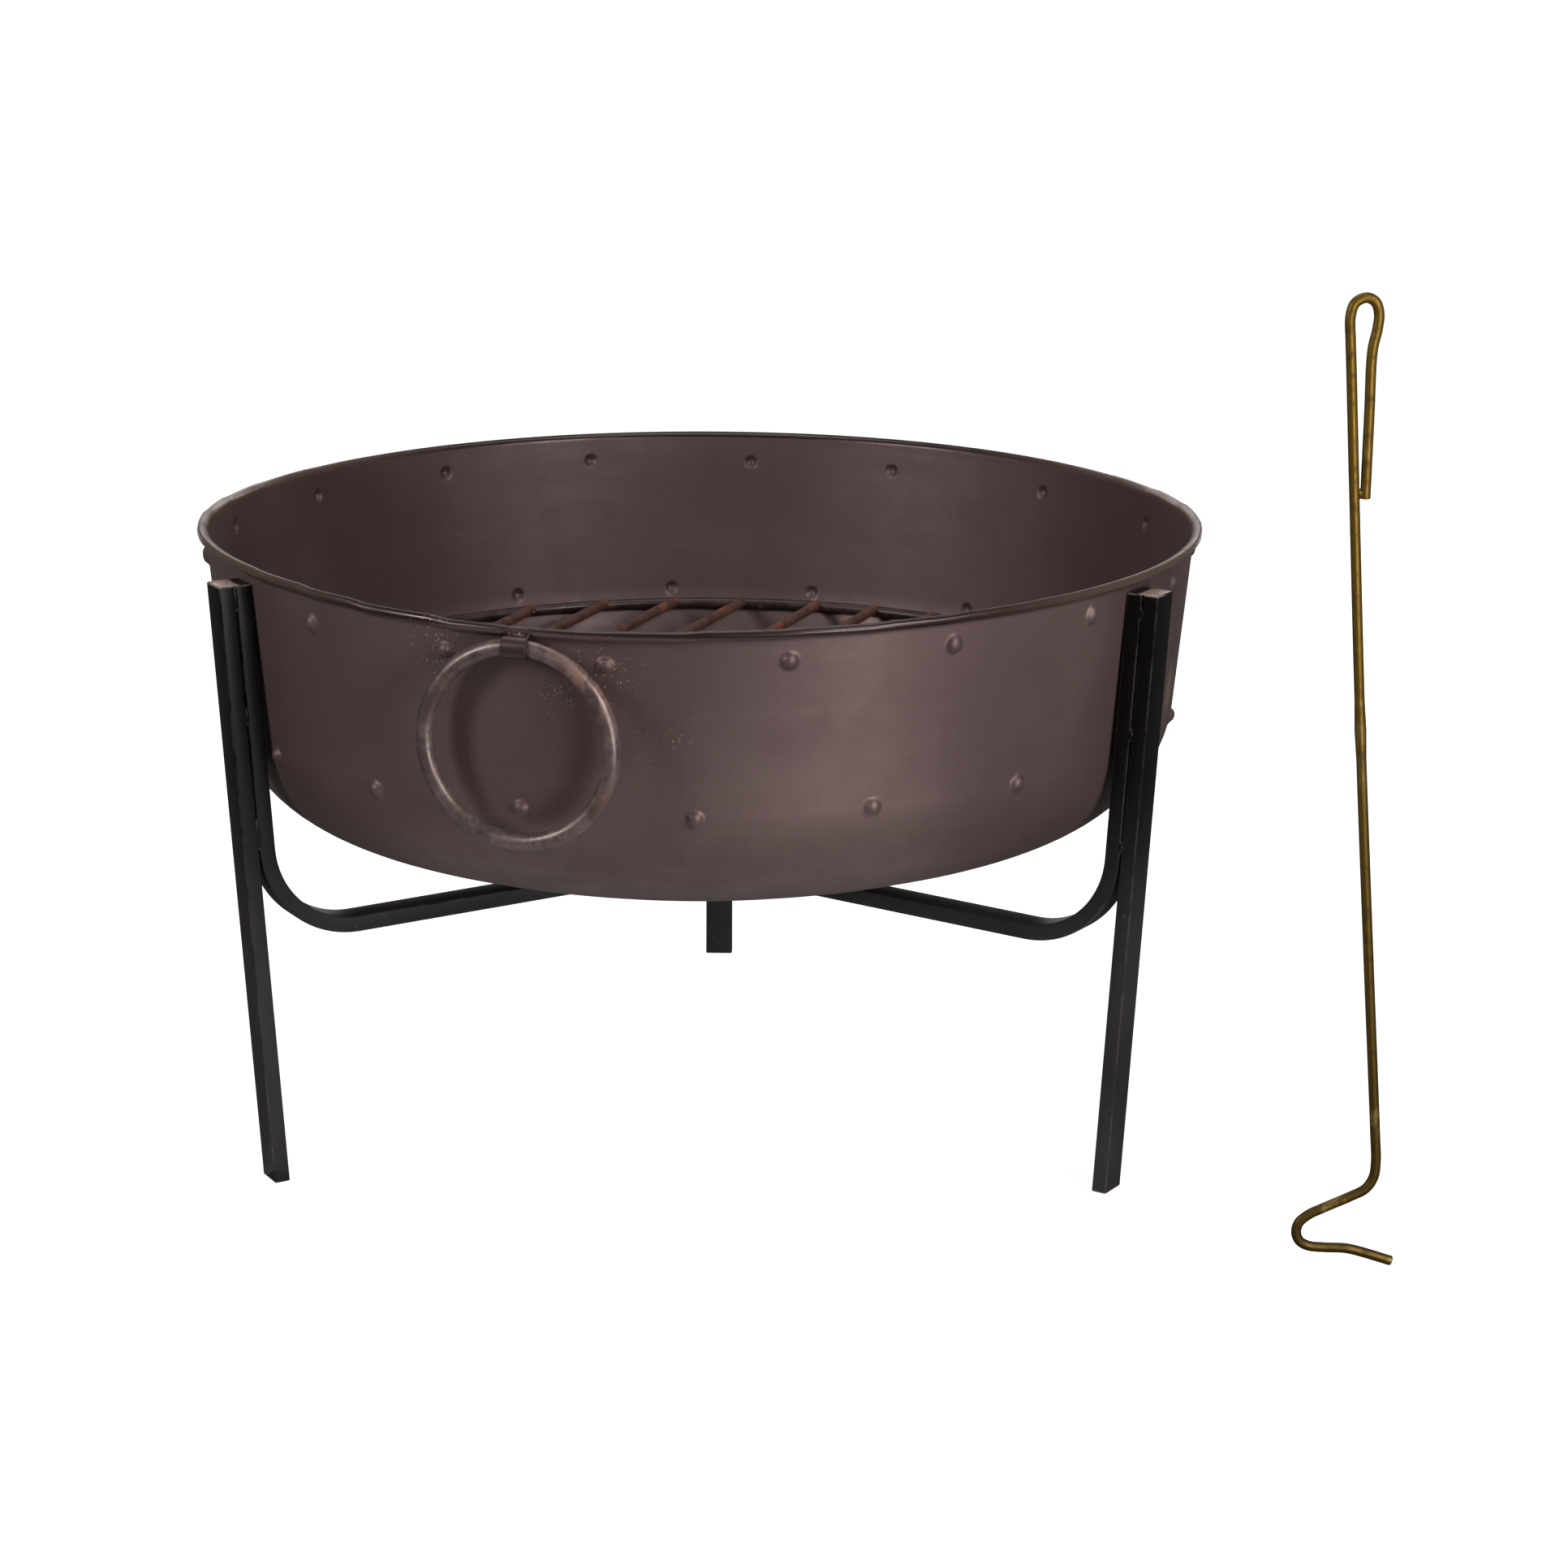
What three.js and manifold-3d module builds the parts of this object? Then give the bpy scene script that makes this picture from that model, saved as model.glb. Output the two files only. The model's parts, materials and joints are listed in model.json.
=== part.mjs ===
// A round sheet-steel fire bowl on a welded three-leg stand, with a grate, two ring handles
// and a bent-wire poker standing beside it.
// Millimetres, +Z up. The floor is z = 0 and the back leg stands on the +Y side of the bowl.
// Azimuths are in degrees, from -Y towards +X. The origin is the middle of the whole set's footprint.
import * as THREE from "three";
import { mergeVertices } from "three/addons/utils/BufferGeometryUtils.js";
import Module from "manifold-3d";

const wasm = await Module();
wasm.setup();

const GAP = 0.3;
const ROD_SIDES = 8;
const BEND_SEGMENTS = 8;
const MERGE_TOLERANCE = 1e-4;

// Stand: each leg is a straight outer tube with a bent inner tube welded along its inside.
const LEGS = [
  { name: "front_left", azimuth: -58.3 },
  { name: "front_right", azimuth: 57.9 },
  { name: "back", azimuth: 180 },
];
const TUBE_WIDTH = 21;
const TUBE_THICKNESS = 11;
const TUBE_WALL = 1.5;
const TUBE_SLIT = 0.8;
const LEG_FOOT_RADIUS = 341.5;
const LEG_TOP_RADIUS = 367.3;
const LEG_TOP_Z = 421;
const ARM_TOP_Z = 184;
const ARM_DROOP = 0.5;
const ARM_BEND_INNER_RADIUS = 60;
const ARM_SECTOR_REACH = 400;
const PLUG_DEPTH = 4;

// Bowl: a tapered wall, a rounded corner and a domed bottom, all one sheet.
const SHEET = 2;
const WALL_TOP_RADIUS = 344.3;
const WALL_TOP_Z = 423;
const CORNER_RADIUS = 86.1;
const CORNER_CENTRE = { r: 247.6, z: 315.7 };
const DOME_RADIUS = 787.2;
const LIP_RADIUS = 350;
const LIP_BEAD_RADIUS = 2.8;
const LIP_TOP_Z = 429;
const LIP_ROOT_DROP = 0.4;
const LIP_INNER_CORNERS = [{ out: 2.2, down: 0.5 }, { out: 0.6, down: 2.4 }];
const BOWL_FACETS = 60;
const DOME_STEPS = 4;
const CORNER_STEPS = 5;
const LIP_STEPS = 4;

// Dimples: pressed outwards, in two staggered rows, each at an azimuth and a height.
const DIMPLE = { radius: 5.5, height: 3.8, sink: 1.2, sides: 8 };
const RECESS = { radius: 4.5, height: 3.2, sink: 2, sides: 6 };
const BUTTON_SHOULDER = { radius: 0.72, height: 0.7 };
const DIMPLES = [
  [-44.4, 407.2], [-25.4, 406.3], [-7.6, 405.2], [11.6, 407.8], [29.9, 409.9], [49.6, 412.1],
  [69.4, 411], [89.4, 410.5], [109.8, 404.2], [132.7, 404.5], [156.5, 404.5], [175.8, 405.6],
  [197.2, 408.2], [217.8, 408.2], [239.8, 408.7], [261, 409], [279.5, 410.7], [297.4, 409],
  [-55.2, 304.4], [-36.5, 303.7], [-17.6, 306.1], [1.7, 304.4], [21.3, 307.8], [40, 308.6],
  [59.6, 307], [79.5, 304.9], [99.7, 304.5], [121.1, 304], [143.9, 303.9], [167.1, 304.2],
  [186.5, 305.9], [208.2, 307], [229, 307], [250.7, 306.5], [270.4, 306], [288.5, 305],
];

// Grate: a round-rod ring with slanting parallel bars, resting on the tapering wall.
const GRATE_RING_RADIUS = 323.6;
const GRATE_ROD_RADIUS = 4;
const GRATE_Z = 295;
const GRATE_BAR_DIRECTION = -20;
const GRATE_BAR_OFFSETS = [-284, -236, -191, -143, -93, -34, 13, 63, 112, 161, 211, 261];
const GRATE_FACETS = 60;

// Ring handles: each hangs in a short sleeve under the lip and swings on it.
const HANDLES = [
  { name: "front", azimuth: -16.6 },
  { name: "back", azimuth: 163.4 },
];
const HANDLE_PIVOT_RADIUS = 351.3;
const HANDLE_PIVOT_Z = 415;
const HANDLE_RING_RADIUS = 62.6;
const HANDLE_ROD_RADIUS = 5.6;
const HANDLE_RISE = 0.32;
const HANDLE_FACETS = 40;
const SLEEVE_LENGTH = 16.6;
const SLEEVE_RADIUS = 7.3;
const SLEEVE_BORE_RADIUS = 6.4;
const SLEEVE_SIDES = 20;
const SLEEVE_TAB = { width: 12, thickness: 4, inset: 2.6 };

// Poker: one bent rod with a hanging loop at the top and a lifting hook at the foot.
const POKER_PLACE = { x: 426.5, y: -310.3 };
const POKER_TURN = 2.4;
const POKER_ROD_RADIUS = 3.3;
const POKER_STEPS_PER_POINT = 2;
const POKER_OUTLINE = [
  [-3.2, 508.4], [-3.1, 560], [-2.9, 600], [-0.5, 613], [0, 622.7], [-2.5, 629.4], [-8.1, 632],
  [-14.7, 628.8], [-17.3, 620.7], [-16.6, 606], [-15.4, 589.3], [-9.5, 502.6], [0.5, 361.2],
  [13, 205], [22.3, 92], [23.7, 72.1], [22.6, 61.4], [17.7, 53.5], [8, 48.2], [-9, 40.4],
  [-18.6, 35.6], [-24.6, 30], [-26, 23.2], [-23.6, 17.5], [-17.7, 14.1], [-8, 13], [6.3, 12.3],
  [14, 10.6], [36.5, 3.5],
];
const POKER_WELD = { x: -6.6, z: 511, radius: 3 };

const COLOURS = {
  stand: { color: 0x1c1b1b, roughness: 0.4, metalness: 0.3 },
  bare_end: { color: 0x6d6463, roughness: 0.35, metalness: 0.8 },
  bowl: { color: 0x4c403e, roughness: 0.5, metalness: 0.6 },
  handle: { color: 0x4a413f, roughness: 0.4, metalness: 0.8 },
  grate: { color: 0x2a2322, roughness: 0.6, metalness: 0.5 },
  rust: { color: 0x5a3424, roughness: 0.8, metalness: 0.3 },
  poker: { color: 0x5a4816, roughness: 0.45, metalness: 0.6 },
};

const radians = THREE.MathUtils.degToRad;
const wholeSet = new THREE.Group();
const assembly = new THREE.Group();
wholeSet.add(assembly);

function addMesh(parent, name, geometry, finish) {
  const mesh = new THREE.Mesh(geometry, new THREE.MeshStandardMaterial(COLOURS[finish]));
  mesh.name = name;
  parent.add(mesh);
  return mesh;
}

// A group whose +X points out along an azimuth, +Y along the tangent and +Z up.
function addSpoke(parent, azimuth) {
  const spoke = new THREE.Group();
  spoke.rotation.z = radians(azimuth - 90);
  parent.add(spoke);
  return spoke;
}

function solidOf(geometry) {
  const bare = geometry.index ? geometry.toNonIndexed() : geometry.clone();
  bare.deleteAttribute("normal");
  bare.deleteAttribute("uv");
  const merged = mergeVertices(bare, MERGE_TOLERANCE);
  return new wasm.Manifold(new wasm.Mesh({
    numProp: 3,
    vertProperties: merged.attributes.position.array,
    triVerts: new Uint32Array(merged.index.array),
  }));
}

function geometryOf(solid) {
  const mesh = solid.getMesh();
  const geometry = new THREE.BufferGeometry();
  geometry.setAttribute("position", new THREE.BufferAttribute(mesh.vertProperties, 3));
  geometry.setIndex(new THREE.BufferAttribute(mesh.triVerts, 1));
  geometry.computeVertexNormals();
  return geometry;
}

// A side outline in (radius, height), extruded to a width across the spoke.
function sidePlate(shape, width) {
  const options = { depth: width, bevelEnabled: false, curveSegments: BEND_SEGMENTS };
  const geometry = new THREE.ExtrudeGeometry(shape, options);
  return geometry.translate(0, 0, -width / 2).rotateX(Math.PI / 2);
}

// Stand

const lean = Math.atan((LEG_TOP_RADIUS - LEG_FOOT_RADIUS) / LEG_TOP_Z);

// A point on the leg, by its depth in from the outer face and its height.
function legPoint(depth, z) {
  const r = LEG_FOOT_RADIUS + z * Math.tan(lean) - depth / Math.cos(lean);
  return new THREE.Vector2(r, z);
}

function legOutline(outerDepth, innerDepth, bottomZ, topZ) {
  return new THREE.Shape([
    legPoint(outerDepth, bottomZ),
    legPoint(outerDepth, topZ),
    legPoint(innerDepth, topZ),
    legPoint(innerDepth, bottomZ),
  ].reverse());
}

const armOuterDepth = TUBE_THICKNESS + TUBE_SLIT;
const armInnerDepth = armOuterDepth + TUBE_THICKNESS;
const armBendCentre = bendCentre();

// The bend's centre lies one inner radius in from the arm tube's inner face and above its top line.
function bendCentre() {
  const atFloor = legPoint(armInnerDepth + ARM_BEND_INNER_RADIUS, 0);
  const fall = Math.tan(radians(ARM_DROOP));
  const rise = ARM_TOP_Z + ARM_BEND_INNER_RADIUS / Math.cos(radians(ARM_DROOP)) - atFloor.x * fall;
  return legPoint(armInnerDepth + ARM_BEND_INNER_RADIUS, rise / (1 + Math.tan(lean) * fall));
}

// The bent inner tube's outline, shrunk all round by inset and lengthened at both ends.
function armOutline(inset, lengthen) {
  const { x, y } = armBendCentre;
  const outerRadius = ARM_BEND_INNER_RADIUS + TUBE_THICKNESS - inset;
  const innerRadius = ARM_BEND_INNER_RADIUS + inset;
  const bendStart = -Math.PI / 2 - radians(ARM_DROOP);
  const endRadius = -TUBE_WIDTH - lengthen;
  const endRise = (x - endRadius) * Math.tan(radians(ARM_DROOP));
  const outerTop = legPoint(armOuterDepth + inset, LEG_TOP_Z + lengthen);
  const innerTop = legPoint(armInnerDepth - inset, LEG_TOP_Z + lengthen);
  const shape = new THREE.Shape();
  shape.moveTo(endRadius, y - outerRadius / Math.cos(radians(ARM_DROOP)) + endRise);
  shape.absarc(x, y, outerRadius, bendStart, -lean, false);
  shape.lineTo(outerTop.x, outerTop.y);
  shape.lineTo(innerTop.x, innerTop.y);
  shape.absarc(x, y, innerRadius, -lean, bendStart, true);
  shape.lineTo(endRadius, y - innerRadius / Math.cos(radians(ARM_DROOP)) + endRise);
  shape.closePath();
  return shape;
}

// The sector of the floor plan that one arm may fill, so that the three meet in mitres.
function armSector(halfAngleAhead, halfAngleBehind) {
  const reach = ARM_SECTOR_REACH;
  const ahead = new THREE.Vector2(reach * Math.cos(halfAngleAhead), reach * Math.sin(halfAngleAhead));
  const behind = new THREE.Vector2(reach * Math.cos(halfAngleBehind), -reach * Math.sin(halfAngleBehind));
  const plan = new THREE.Shape([
    new THREE.Vector2(GAP, 0),
    new THREE.Vector2(GAP + behind.x, behind.y),
    new THREE.Vector2(GAP + reach, behind.y),
    new THREE.Vector2(GAP + reach, ahead.y),
    new THREE.Vector2(GAP + ahead.x, ahead.y),
  ]);
  return new THREE.ExtrudeGeometry(plan, { depth: LEG_TOP_Z + reach, bevelEnabled: false });
}

// A tube is a thick bar less its bore.
function tube(outline, bore) {
  const boreWidth = TUBE_WIDTH - 2 * TUBE_WALL;
  return solidOf(sidePlate(outline, TUBE_WIDTH)).subtract(solidOf(sidePlate(bore, boreWidth)));
}

function addTubeCap(parent, name, outerDepth, bottomZ, topZ, finish) {
  const inset = TUBE_WALL + GAP;
  const outline = legOutline(outerDepth + inset, outerDepth + TUBE_THICKNESS - inset, bottomZ, topZ);
  addMesh(parent, name, sidePlate(outline, TUBE_WIDTH - 2 * inset), finish);
}

function halfAngleBetween(azimuthA, azimuthB) {
  const turn = THREE.MathUtils.euclideanModulo(azimuthB - azimuthA, 360);
  return radians(turn / 2);
}

LEGS.forEach(({ name, azimuth }, index) => {
  const spoke = addSpoke(assembly, azimuth);
  const next = LEGS[(index + 1) % LEGS.length].azimuth;
  const previous = LEGS[(index + LEGS.length - 1) % LEGS.length].azimuth;
  const sector = solidOf(armSector(halfAngleBetween(azimuth, next), halfAngleBetween(previous, azimuth)));

  const leg = tube(
    legOutline(0, TUBE_THICKNESS, 0, LEG_TOP_Z),
    legOutline(TUBE_WALL, TUBE_THICKNESS - TUBE_WALL, -PLUG_DEPTH, LEG_TOP_Z + PLUG_DEPTH),
  );
  const arm = tube(armOutline(0, 0), armOutline(TUBE_WALL, PLUG_DEPTH)).intersect(sector);
  addMesh(spoke, `leg_tube_${name}`, geometryOf(leg), "stand");
  addMesh(spoke, `arm_tube_${name}`, geometryOf(arm), "stand");
  addTubeCap(spoke, `foot_plug_${name}`, 0, 0, PLUG_DEPTH, "stand");
  addTubeCap(spoke, `leg_cap_${name}`, 0, LEG_TOP_Z - PLUG_DEPTH, LEG_TOP_Z, "bare_end");
  addTubeCap(spoke, `arm_cap_${name}`, armOuterDepth, LEG_TOP_Z - PLUG_DEPTH, LEG_TOP_Z, "stand");
});

// Bowl

const domeToCorner = DOME_RADIUS - CORNER_RADIUS;
const domeCentreZ = CORNER_CENTRE.z + Math.sqrt(domeToCorner ** 2 - CORNER_CENTRE.r ** 2);
const domeEdgeAngle = Math.atan2(CORNER_CENTRE.z - domeCentreZ, CORNER_CENTRE.r);
const wallLean = wallAngle();

// The lean of the wall line that passes through the wall's top and touches the corner arc.
function wallAngle() {
  const across = WALL_TOP_RADIUS - CORNER_CENTRE.r;
  const up = WALL_TOP_Z - CORNER_CENTRE.z;
  return Math.atan2(up, across) - Math.acos(CORNER_RADIUS / Math.hypot(across, up));
}

function wallRadius(z) {
  return WALL_TOP_RADIUS - (WALL_TOP_Z - z) * Math.tan(-wallLean);
}

function arcPoints(centreR, centreZ, radius, from, to, steps) {
  return Array.from({ length: steps + 1 }, (_, i) => {
    const angle = from + ((to - from) * i) / steps;
    return new THREE.Vector2(centreR + radius * Math.cos(angle), centreZ + radius * Math.sin(angle));
  });
}

// The bottom and corner of one face of the sheet, from the axis outwards.
function sheetFace(inset) {
  const dome = arcPoints(0, domeCentreZ, DOME_RADIUS - inset, -Math.PI / 2, domeEdgeAngle, DOME_STEPS);
  const cornerRadius = CORNER_RADIUS - inset;
  const { r, z } = CORNER_CENTRE;
  const corner = arcPoints(r, z, cornerRadius, domeEdgeAngle, wallLean, CORNER_STEPS);
  dome[0].x = 0;
  return [...dome, ...corner.slice(1)];
}

function bowlProfile() {
  const beadR = LIP_RADIUS - LIP_BEAD_RADIUS;
  const beadZ = LIP_TOP_Z - LIP_BEAD_RADIUS;
  const innerTop = WALL_TOP_RADIUS - SHEET;
  return [
    ...sheetFace(0),
    new THREE.Vector2(WALL_TOP_RADIUS, WALL_TOP_Z - LIP_ROOT_DROP),
    ...arcPoints(beadR, beadZ, LIP_BEAD_RADIUS, -Math.PI / 2, Math.PI / 2, LIP_STEPS),
    ...LIP_INNER_CORNERS.map(({ out, down }) => new THREE.Vector2(innerTop + out, LIP_TOP_Z - down)),
    new THREE.Vector2(innerTop, WALL_TOP_Z),
    ...sheetFace(SHEET).reverse(),
  ];
}

// A low domed button standing on the XZ plane, with its base sunk below it.
function button({ radius, height, sink, sides }) {
  const points = [
    new THREE.Vector2(0, -sink),
    new THREE.Vector2(radius, -sink),
    new THREE.Vector2(radius, 0),
    new THREE.Vector2(radius * BUTTON_SHOULDER.radius, height * BUTTON_SHOULDER.height),
    new THREE.Vector2(0, height),
  ];
  return new THREE.LatheGeometry(points, sides);
}

// Turns a button to stand out of the wall at an azimuth and height, on the face at that inset.
function onWall(geometry, azimuth, z, inset) {
  const centre = wallRadius(z) - inset;
  return geometry.rotateZ(-Math.PI / 2).translate(centre, 0, z).rotateZ(radians(azimuth - 90));
}

let shell = solidOf(new THREE.LatheGeometry(bowlProfile(), BOWL_FACETS).rotateX(Math.PI / 2));
for (const [azimuth, z] of DIMPLES) {
  const bump = solidOf(onWall(button(DIMPLE), azimuth, z, 0));
  const recess = solidOf(onWall(button(RECESS), azimuth, z, SHEET));
  shell = shell.add(bump).subtract(recess);
}
addMesh(assembly, "bowl_shell", geometryOf(shell), "bowl");

// Ring handles and their sleeves

function roundBar(radius, length, sides) {
  return new THREE.CylinderGeometry(radius, radius, length, sides);
}

function sleeveGeometry() {
  const barrel = solidOf(roundBar(SLEEVE_RADIUS, SLEEVE_LENGTH, SLEEVE_SIDES));
  const bore = solidOf(roundBar(SLEEVE_BORE_RADIUS, 2 * SLEEVE_LENGTH, SLEEVE_SIDES));
  const lipUnderside = LIP_TOP_Z - 2 * LIP_BEAD_RADIUS;
  const tabTop = lipUnderside - 2 * GAP - HANDLE_PIVOT_Z;
  const tab = solidOf(new THREE.BoxGeometry(SLEEVE_TAB.thickness, SLEEVE_TAB.width, tabTop)
    .translate(-SLEEVE_TAB.inset, 0, tabTop / 2));
  return geometryOf(barrel.add(tab).subtract(bore));
}

// The ring sits a little high in its sleeve, so that its curve clears the bore's ends.
function ringGeometry() {
  return new THREE.TorusGeometry(HANDLE_RING_RADIUS, HANDLE_ROD_RADIUS, ROD_SIDES, HANDLE_FACETS)
    .rotateY(Math.PI / 2)
    .translate(0, 0, HANDLE_RISE - HANDLE_RING_RADIUS);
}

for (const { name, azimuth } of HANDLES) {
  const spoke = addSpoke(assembly, azimuth);
  const sleeve = addMesh(spoke, `handle_sleeve_${name}`, sleeveGeometry(), "bowl");
  const ring = addMesh(spoke, `handle_ring_${name}`, ringGeometry(), "handle");
  sleeve.position.set(HANDLE_PIVOT_RADIUS, 0, HANDLE_PIVOT_Z);
  ring.position.copy(sleeve.position);
}

// Grate: the bars run along the group's +X, side by side across it, cut to the ring's inner face.

const grate = addSpoke(assembly, GRATE_BAR_DIRECTION);
grate.position.z = GRATE_Z;
addMesh(
  grate,
  "grate_ring",
  new THREE.TorusGeometry(GRATE_RING_RADIUS, GRATE_ROD_RADIUS, ROD_SIDES, GRATE_FACETS),
  "grate",
);

const barReach = GRATE_RING_RADIUS - GRATE_ROD_RADIUS - GAP;
const insideRing = solidOf(roundBar(barReach, 4 * GRATE_ROD_RADIUS, GRATE_FACETS).rotateX(Math.PI / 2));
GRATE_BAR_OFFSETS.forEach((offset, index) => {
  const rod = roundBar(GRATE_ROD_RADIUS, 2 * GRATE_RING_RADIUS, ROD_SIDES)
    .rotateZ(Math.PI / 2)
    .translate(0, offset, 0);
  const name = `grate_bar_${String(index + 1).padStart(2, "0")}`;
  addMesh(grate, name, geometryOf(solidOf(rod).intersect(insideRing)), "rust");
});

// Poker

function pokerGeometry() {
  const points = POKER_OUTLINE.map(([x, z]) => new THREE.Vector3(x, 0, z));
  const path = new THREE.CatmullRomCurve3(points, false, "centripetal");
  // Steps follow the outline's own points, so the bends get more of them than the straight runs.
  path.getUtoTmapping = (u) => u;
  const section = new THREE.Shape().absarc(0, 0, POKER_ROD_RADIUS, 0, 2 * Math.PI, false);
  const steps = POKER_STEPS_PER_POINT * (points.length - 1);
  const rod = new THREE.ExtrudeGeometry(section, { steps, curveSegments: ROD_SIDES / 2, extrudePath: path });
  const weld = new THREE.SphereGeometry(POKER_WELD.radius, ROD_SIDES, ROD_SIDES);
  return geometryOf(solidOf(rod).add(solidOf(weld.translate(POKER_WELD.x, 0, POKER_WELD.z))));
}

const poker = addMesh(assembly, "poker_rod", pokerGeometry(), "poker");
poker.position.set(POKER_PLACE.x, POKER_PLACE.y, 0);
poker.rotation.z = radians(POKER_TURN);

// The origin goes to the middle of the footprint, on the floor.
const extent = new THREE.Box3().setFromObject(assembly, true);
const middle = extent.getCenter(new THREE.Vector3());
assembly.position.set(-middle.x, -middle.y, -extent.min.z);

export default wholeSet;
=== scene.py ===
import json
import math
import random

import bmesh
import bpy
import numpy as np
from mathutils import Matrix, Vector, noise


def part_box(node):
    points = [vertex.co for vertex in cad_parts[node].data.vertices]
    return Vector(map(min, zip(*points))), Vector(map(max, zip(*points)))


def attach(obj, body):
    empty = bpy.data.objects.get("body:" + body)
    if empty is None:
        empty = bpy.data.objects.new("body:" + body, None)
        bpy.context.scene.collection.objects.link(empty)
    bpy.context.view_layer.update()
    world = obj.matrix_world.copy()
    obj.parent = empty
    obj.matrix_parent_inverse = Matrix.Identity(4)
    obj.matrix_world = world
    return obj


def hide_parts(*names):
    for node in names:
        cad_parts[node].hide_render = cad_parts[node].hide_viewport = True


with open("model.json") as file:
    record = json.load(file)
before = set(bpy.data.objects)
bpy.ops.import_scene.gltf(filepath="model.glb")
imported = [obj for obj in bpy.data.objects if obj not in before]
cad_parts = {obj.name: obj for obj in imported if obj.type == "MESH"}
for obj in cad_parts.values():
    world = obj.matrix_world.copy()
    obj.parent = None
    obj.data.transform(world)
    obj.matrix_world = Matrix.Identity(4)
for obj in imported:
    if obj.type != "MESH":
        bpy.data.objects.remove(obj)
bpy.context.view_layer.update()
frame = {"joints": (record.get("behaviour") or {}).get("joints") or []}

MM = 0.001

# Where things are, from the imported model. Azimuths run from -Y towards +X about the bowl's axis.
BOWL_LOW, BOWL_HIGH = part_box("bowl_shell")
AXIS = Vector(((BOWL_LOW.x + BOWL_HIGH.x) / 2, (BOWL_LOW.y + BOWL_HIGH.y) / 2, 0))
LIP_RADIUS = (BOWL_HIGH.x - BOWL_LOW.x) / 2
LIP_TOP_Z = BOWL_HIGH.z
LEG_NAMES = ("front_left", "front_right", "back")
HANDLE_NAMES = ("front", "back")
JOINTS = {joint["name"]: joint for joint in frame["joints"]}

# Stand tubes. The leg's radii are those of its outer face, at its foot and at its top.
TUBE_WIDTH = 21 * MM
TUBE_THICKNESS = 11 * MM
TUBE_CORNER = 1.0 * MM
TUBE_CORNER_STEPS = 4
TUBE_END_BEVEL = 0.5 * MM
TUBE_SLIT = 0.8 * MM
LEG_FOOT_RADIUS = 341.5 * MM
LEG_TOP_RADIUS = 367.3 * MM
LEG_TOP_Z = 421 * MM
LEG_LEAN = math.atan((LEG_TOP_RADIUS - LEG_FOOT_RADIUS) / LEG_TOP_Z)
# The arm's top line meets the bowl's axis at this height, and droops towards the leg
ARM_TOP_Z = 184 * MM
ARM_DROOP = math.radians(0.5)
ARM_BEND_INNER_RADIUS = 60 * MM
ARM_BEND_STEPS = 28
ARM_MITRE_GAP = 0.3 * MM
# The bare plate that closes a leg's end and its arm's end
LEG_END_SINK = 0.3 * MM
LEG_END_THICKNESS = 0.7 * MM
LEG_END_MARGIN = 0.5 * MM
LEG_END_EASE = 0.3 * MM
# Weld beads in the slit between leg and arm: height and half length, in mm
SLIT_WELDS = {
    "front_left": [(412, 8), (332, 6.5), (250, 11)],
    "front_right": [(408, 4), (325.5, 4.5), (247, 4.5)],
    "back": [(408, 5), (326, 5), (248, 6)],
}
SLIT_WELD_HALF_DEPTH = 1.7 * MM
SLIT_WELD_HALF_WIDTH = 1.1 * MM
# How far from the tube's middle a slit weld's middle lies, as a share of the tube's width
SLIT_WELD_OFFSET = 0.47

# Every weld bead's mesh
BEAD_ROWS = 9
BEAD_SIDES = 14
BEAD_POLE_GAP = 0.02
BEAD_LUMPINESS = 1.7

# Bowl. The corner's centre is at CORNER_R from the axis and CORNER_Z off the floor.
SHEET = 2 * MM
WALL_TOP_RADIUS = 344.3 * MM
WALL_TOP_Z = 423 * MM
CORNER_RADIUS = 86.1 * MM
CORNER_R = 247.6 * MM
CORNER_Z = 315.7 * MM
DOME_RADIUS = 787.2 * MM
LIP_BEAD = 3.1 * MM
LIP_SHOULDER = 4.6 * MM
DIMPLE_RADIUS = 5.6 * MM
DIMPLE_HEIGHT = 3.8 * MM
RECESS_RADIUS = 4.7 * MM
RECESS_DEPTH = 3.2 * MM
# A dimple's rise at a share of its radius is height * (1 - share ** flatness) ** steepness
DIMPLE_FLATNESS = 2.4
DIMPLE_STEEPNESS = 0.8
# Each dimple's azimuth and its height in mm, the upper row and then the lower one
UPPER_DIMPLES = [
    (-44.4, 407.2), (-25.4, 406.3), (-7.6, 405.2), (11.6, 407.8), (29.9, 409.9), (49.6, 412.1),
    (69.4, 411), (89.4, 410.5), (109.8, 404.2), (132.7, 404.5), (156.5, 404.5), (175.8, 405.6),
    (197.2, 408.2), (217.8, 408.2), (239.8, 408.7), (261, 409), (279.5, 410.7), (297.4, 409),
]
LOWER_DIMPLES = [
    (-55.2, 304.4), (-36.5, 303.7), (-17.6, 306.1), (1.7, 304.4), (21.3, 307.8), (40, 308.6),
    (59.6, 307), (79.5, 304.9), (99.7, 304.5), (121.1, 304), (143.9, 303.9), (167.1, 304.2),
    (186.5, 305.9), (208.2, 307), (229, 307), (250.7, 306.5), (270.4, 306), (288.5, 305),
]
# The bowl's mesh: rows up the profile and columns round it, close together only at the dimples.
# The corner's rows and all the columns are set in degrees.
HUB_SHARE = 0.02
DOME_ROWS = 11
CORNER_ROWS = 14
CORNER_COARSE_TO = -20
CORNER_FINE_FROM = -18
CORNER_FINE_STEP = 1.5
DIMPLE_ROW_STEP = 1.2 * MM
DIMPLE_ROW_REACH = 7 * MM
MIDDLE_ROWS = 9
MIDDLE_ROW_GAP = 2 * MM
LAST_ROW_BELOW_TOP = 1.5 * MM
DIMPLE_COLUMN_STEP = 0.2
DIMPLE_COLUMN_REACH = 1.2
PLAIN_COLUMN_STEP = 2.2
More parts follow.
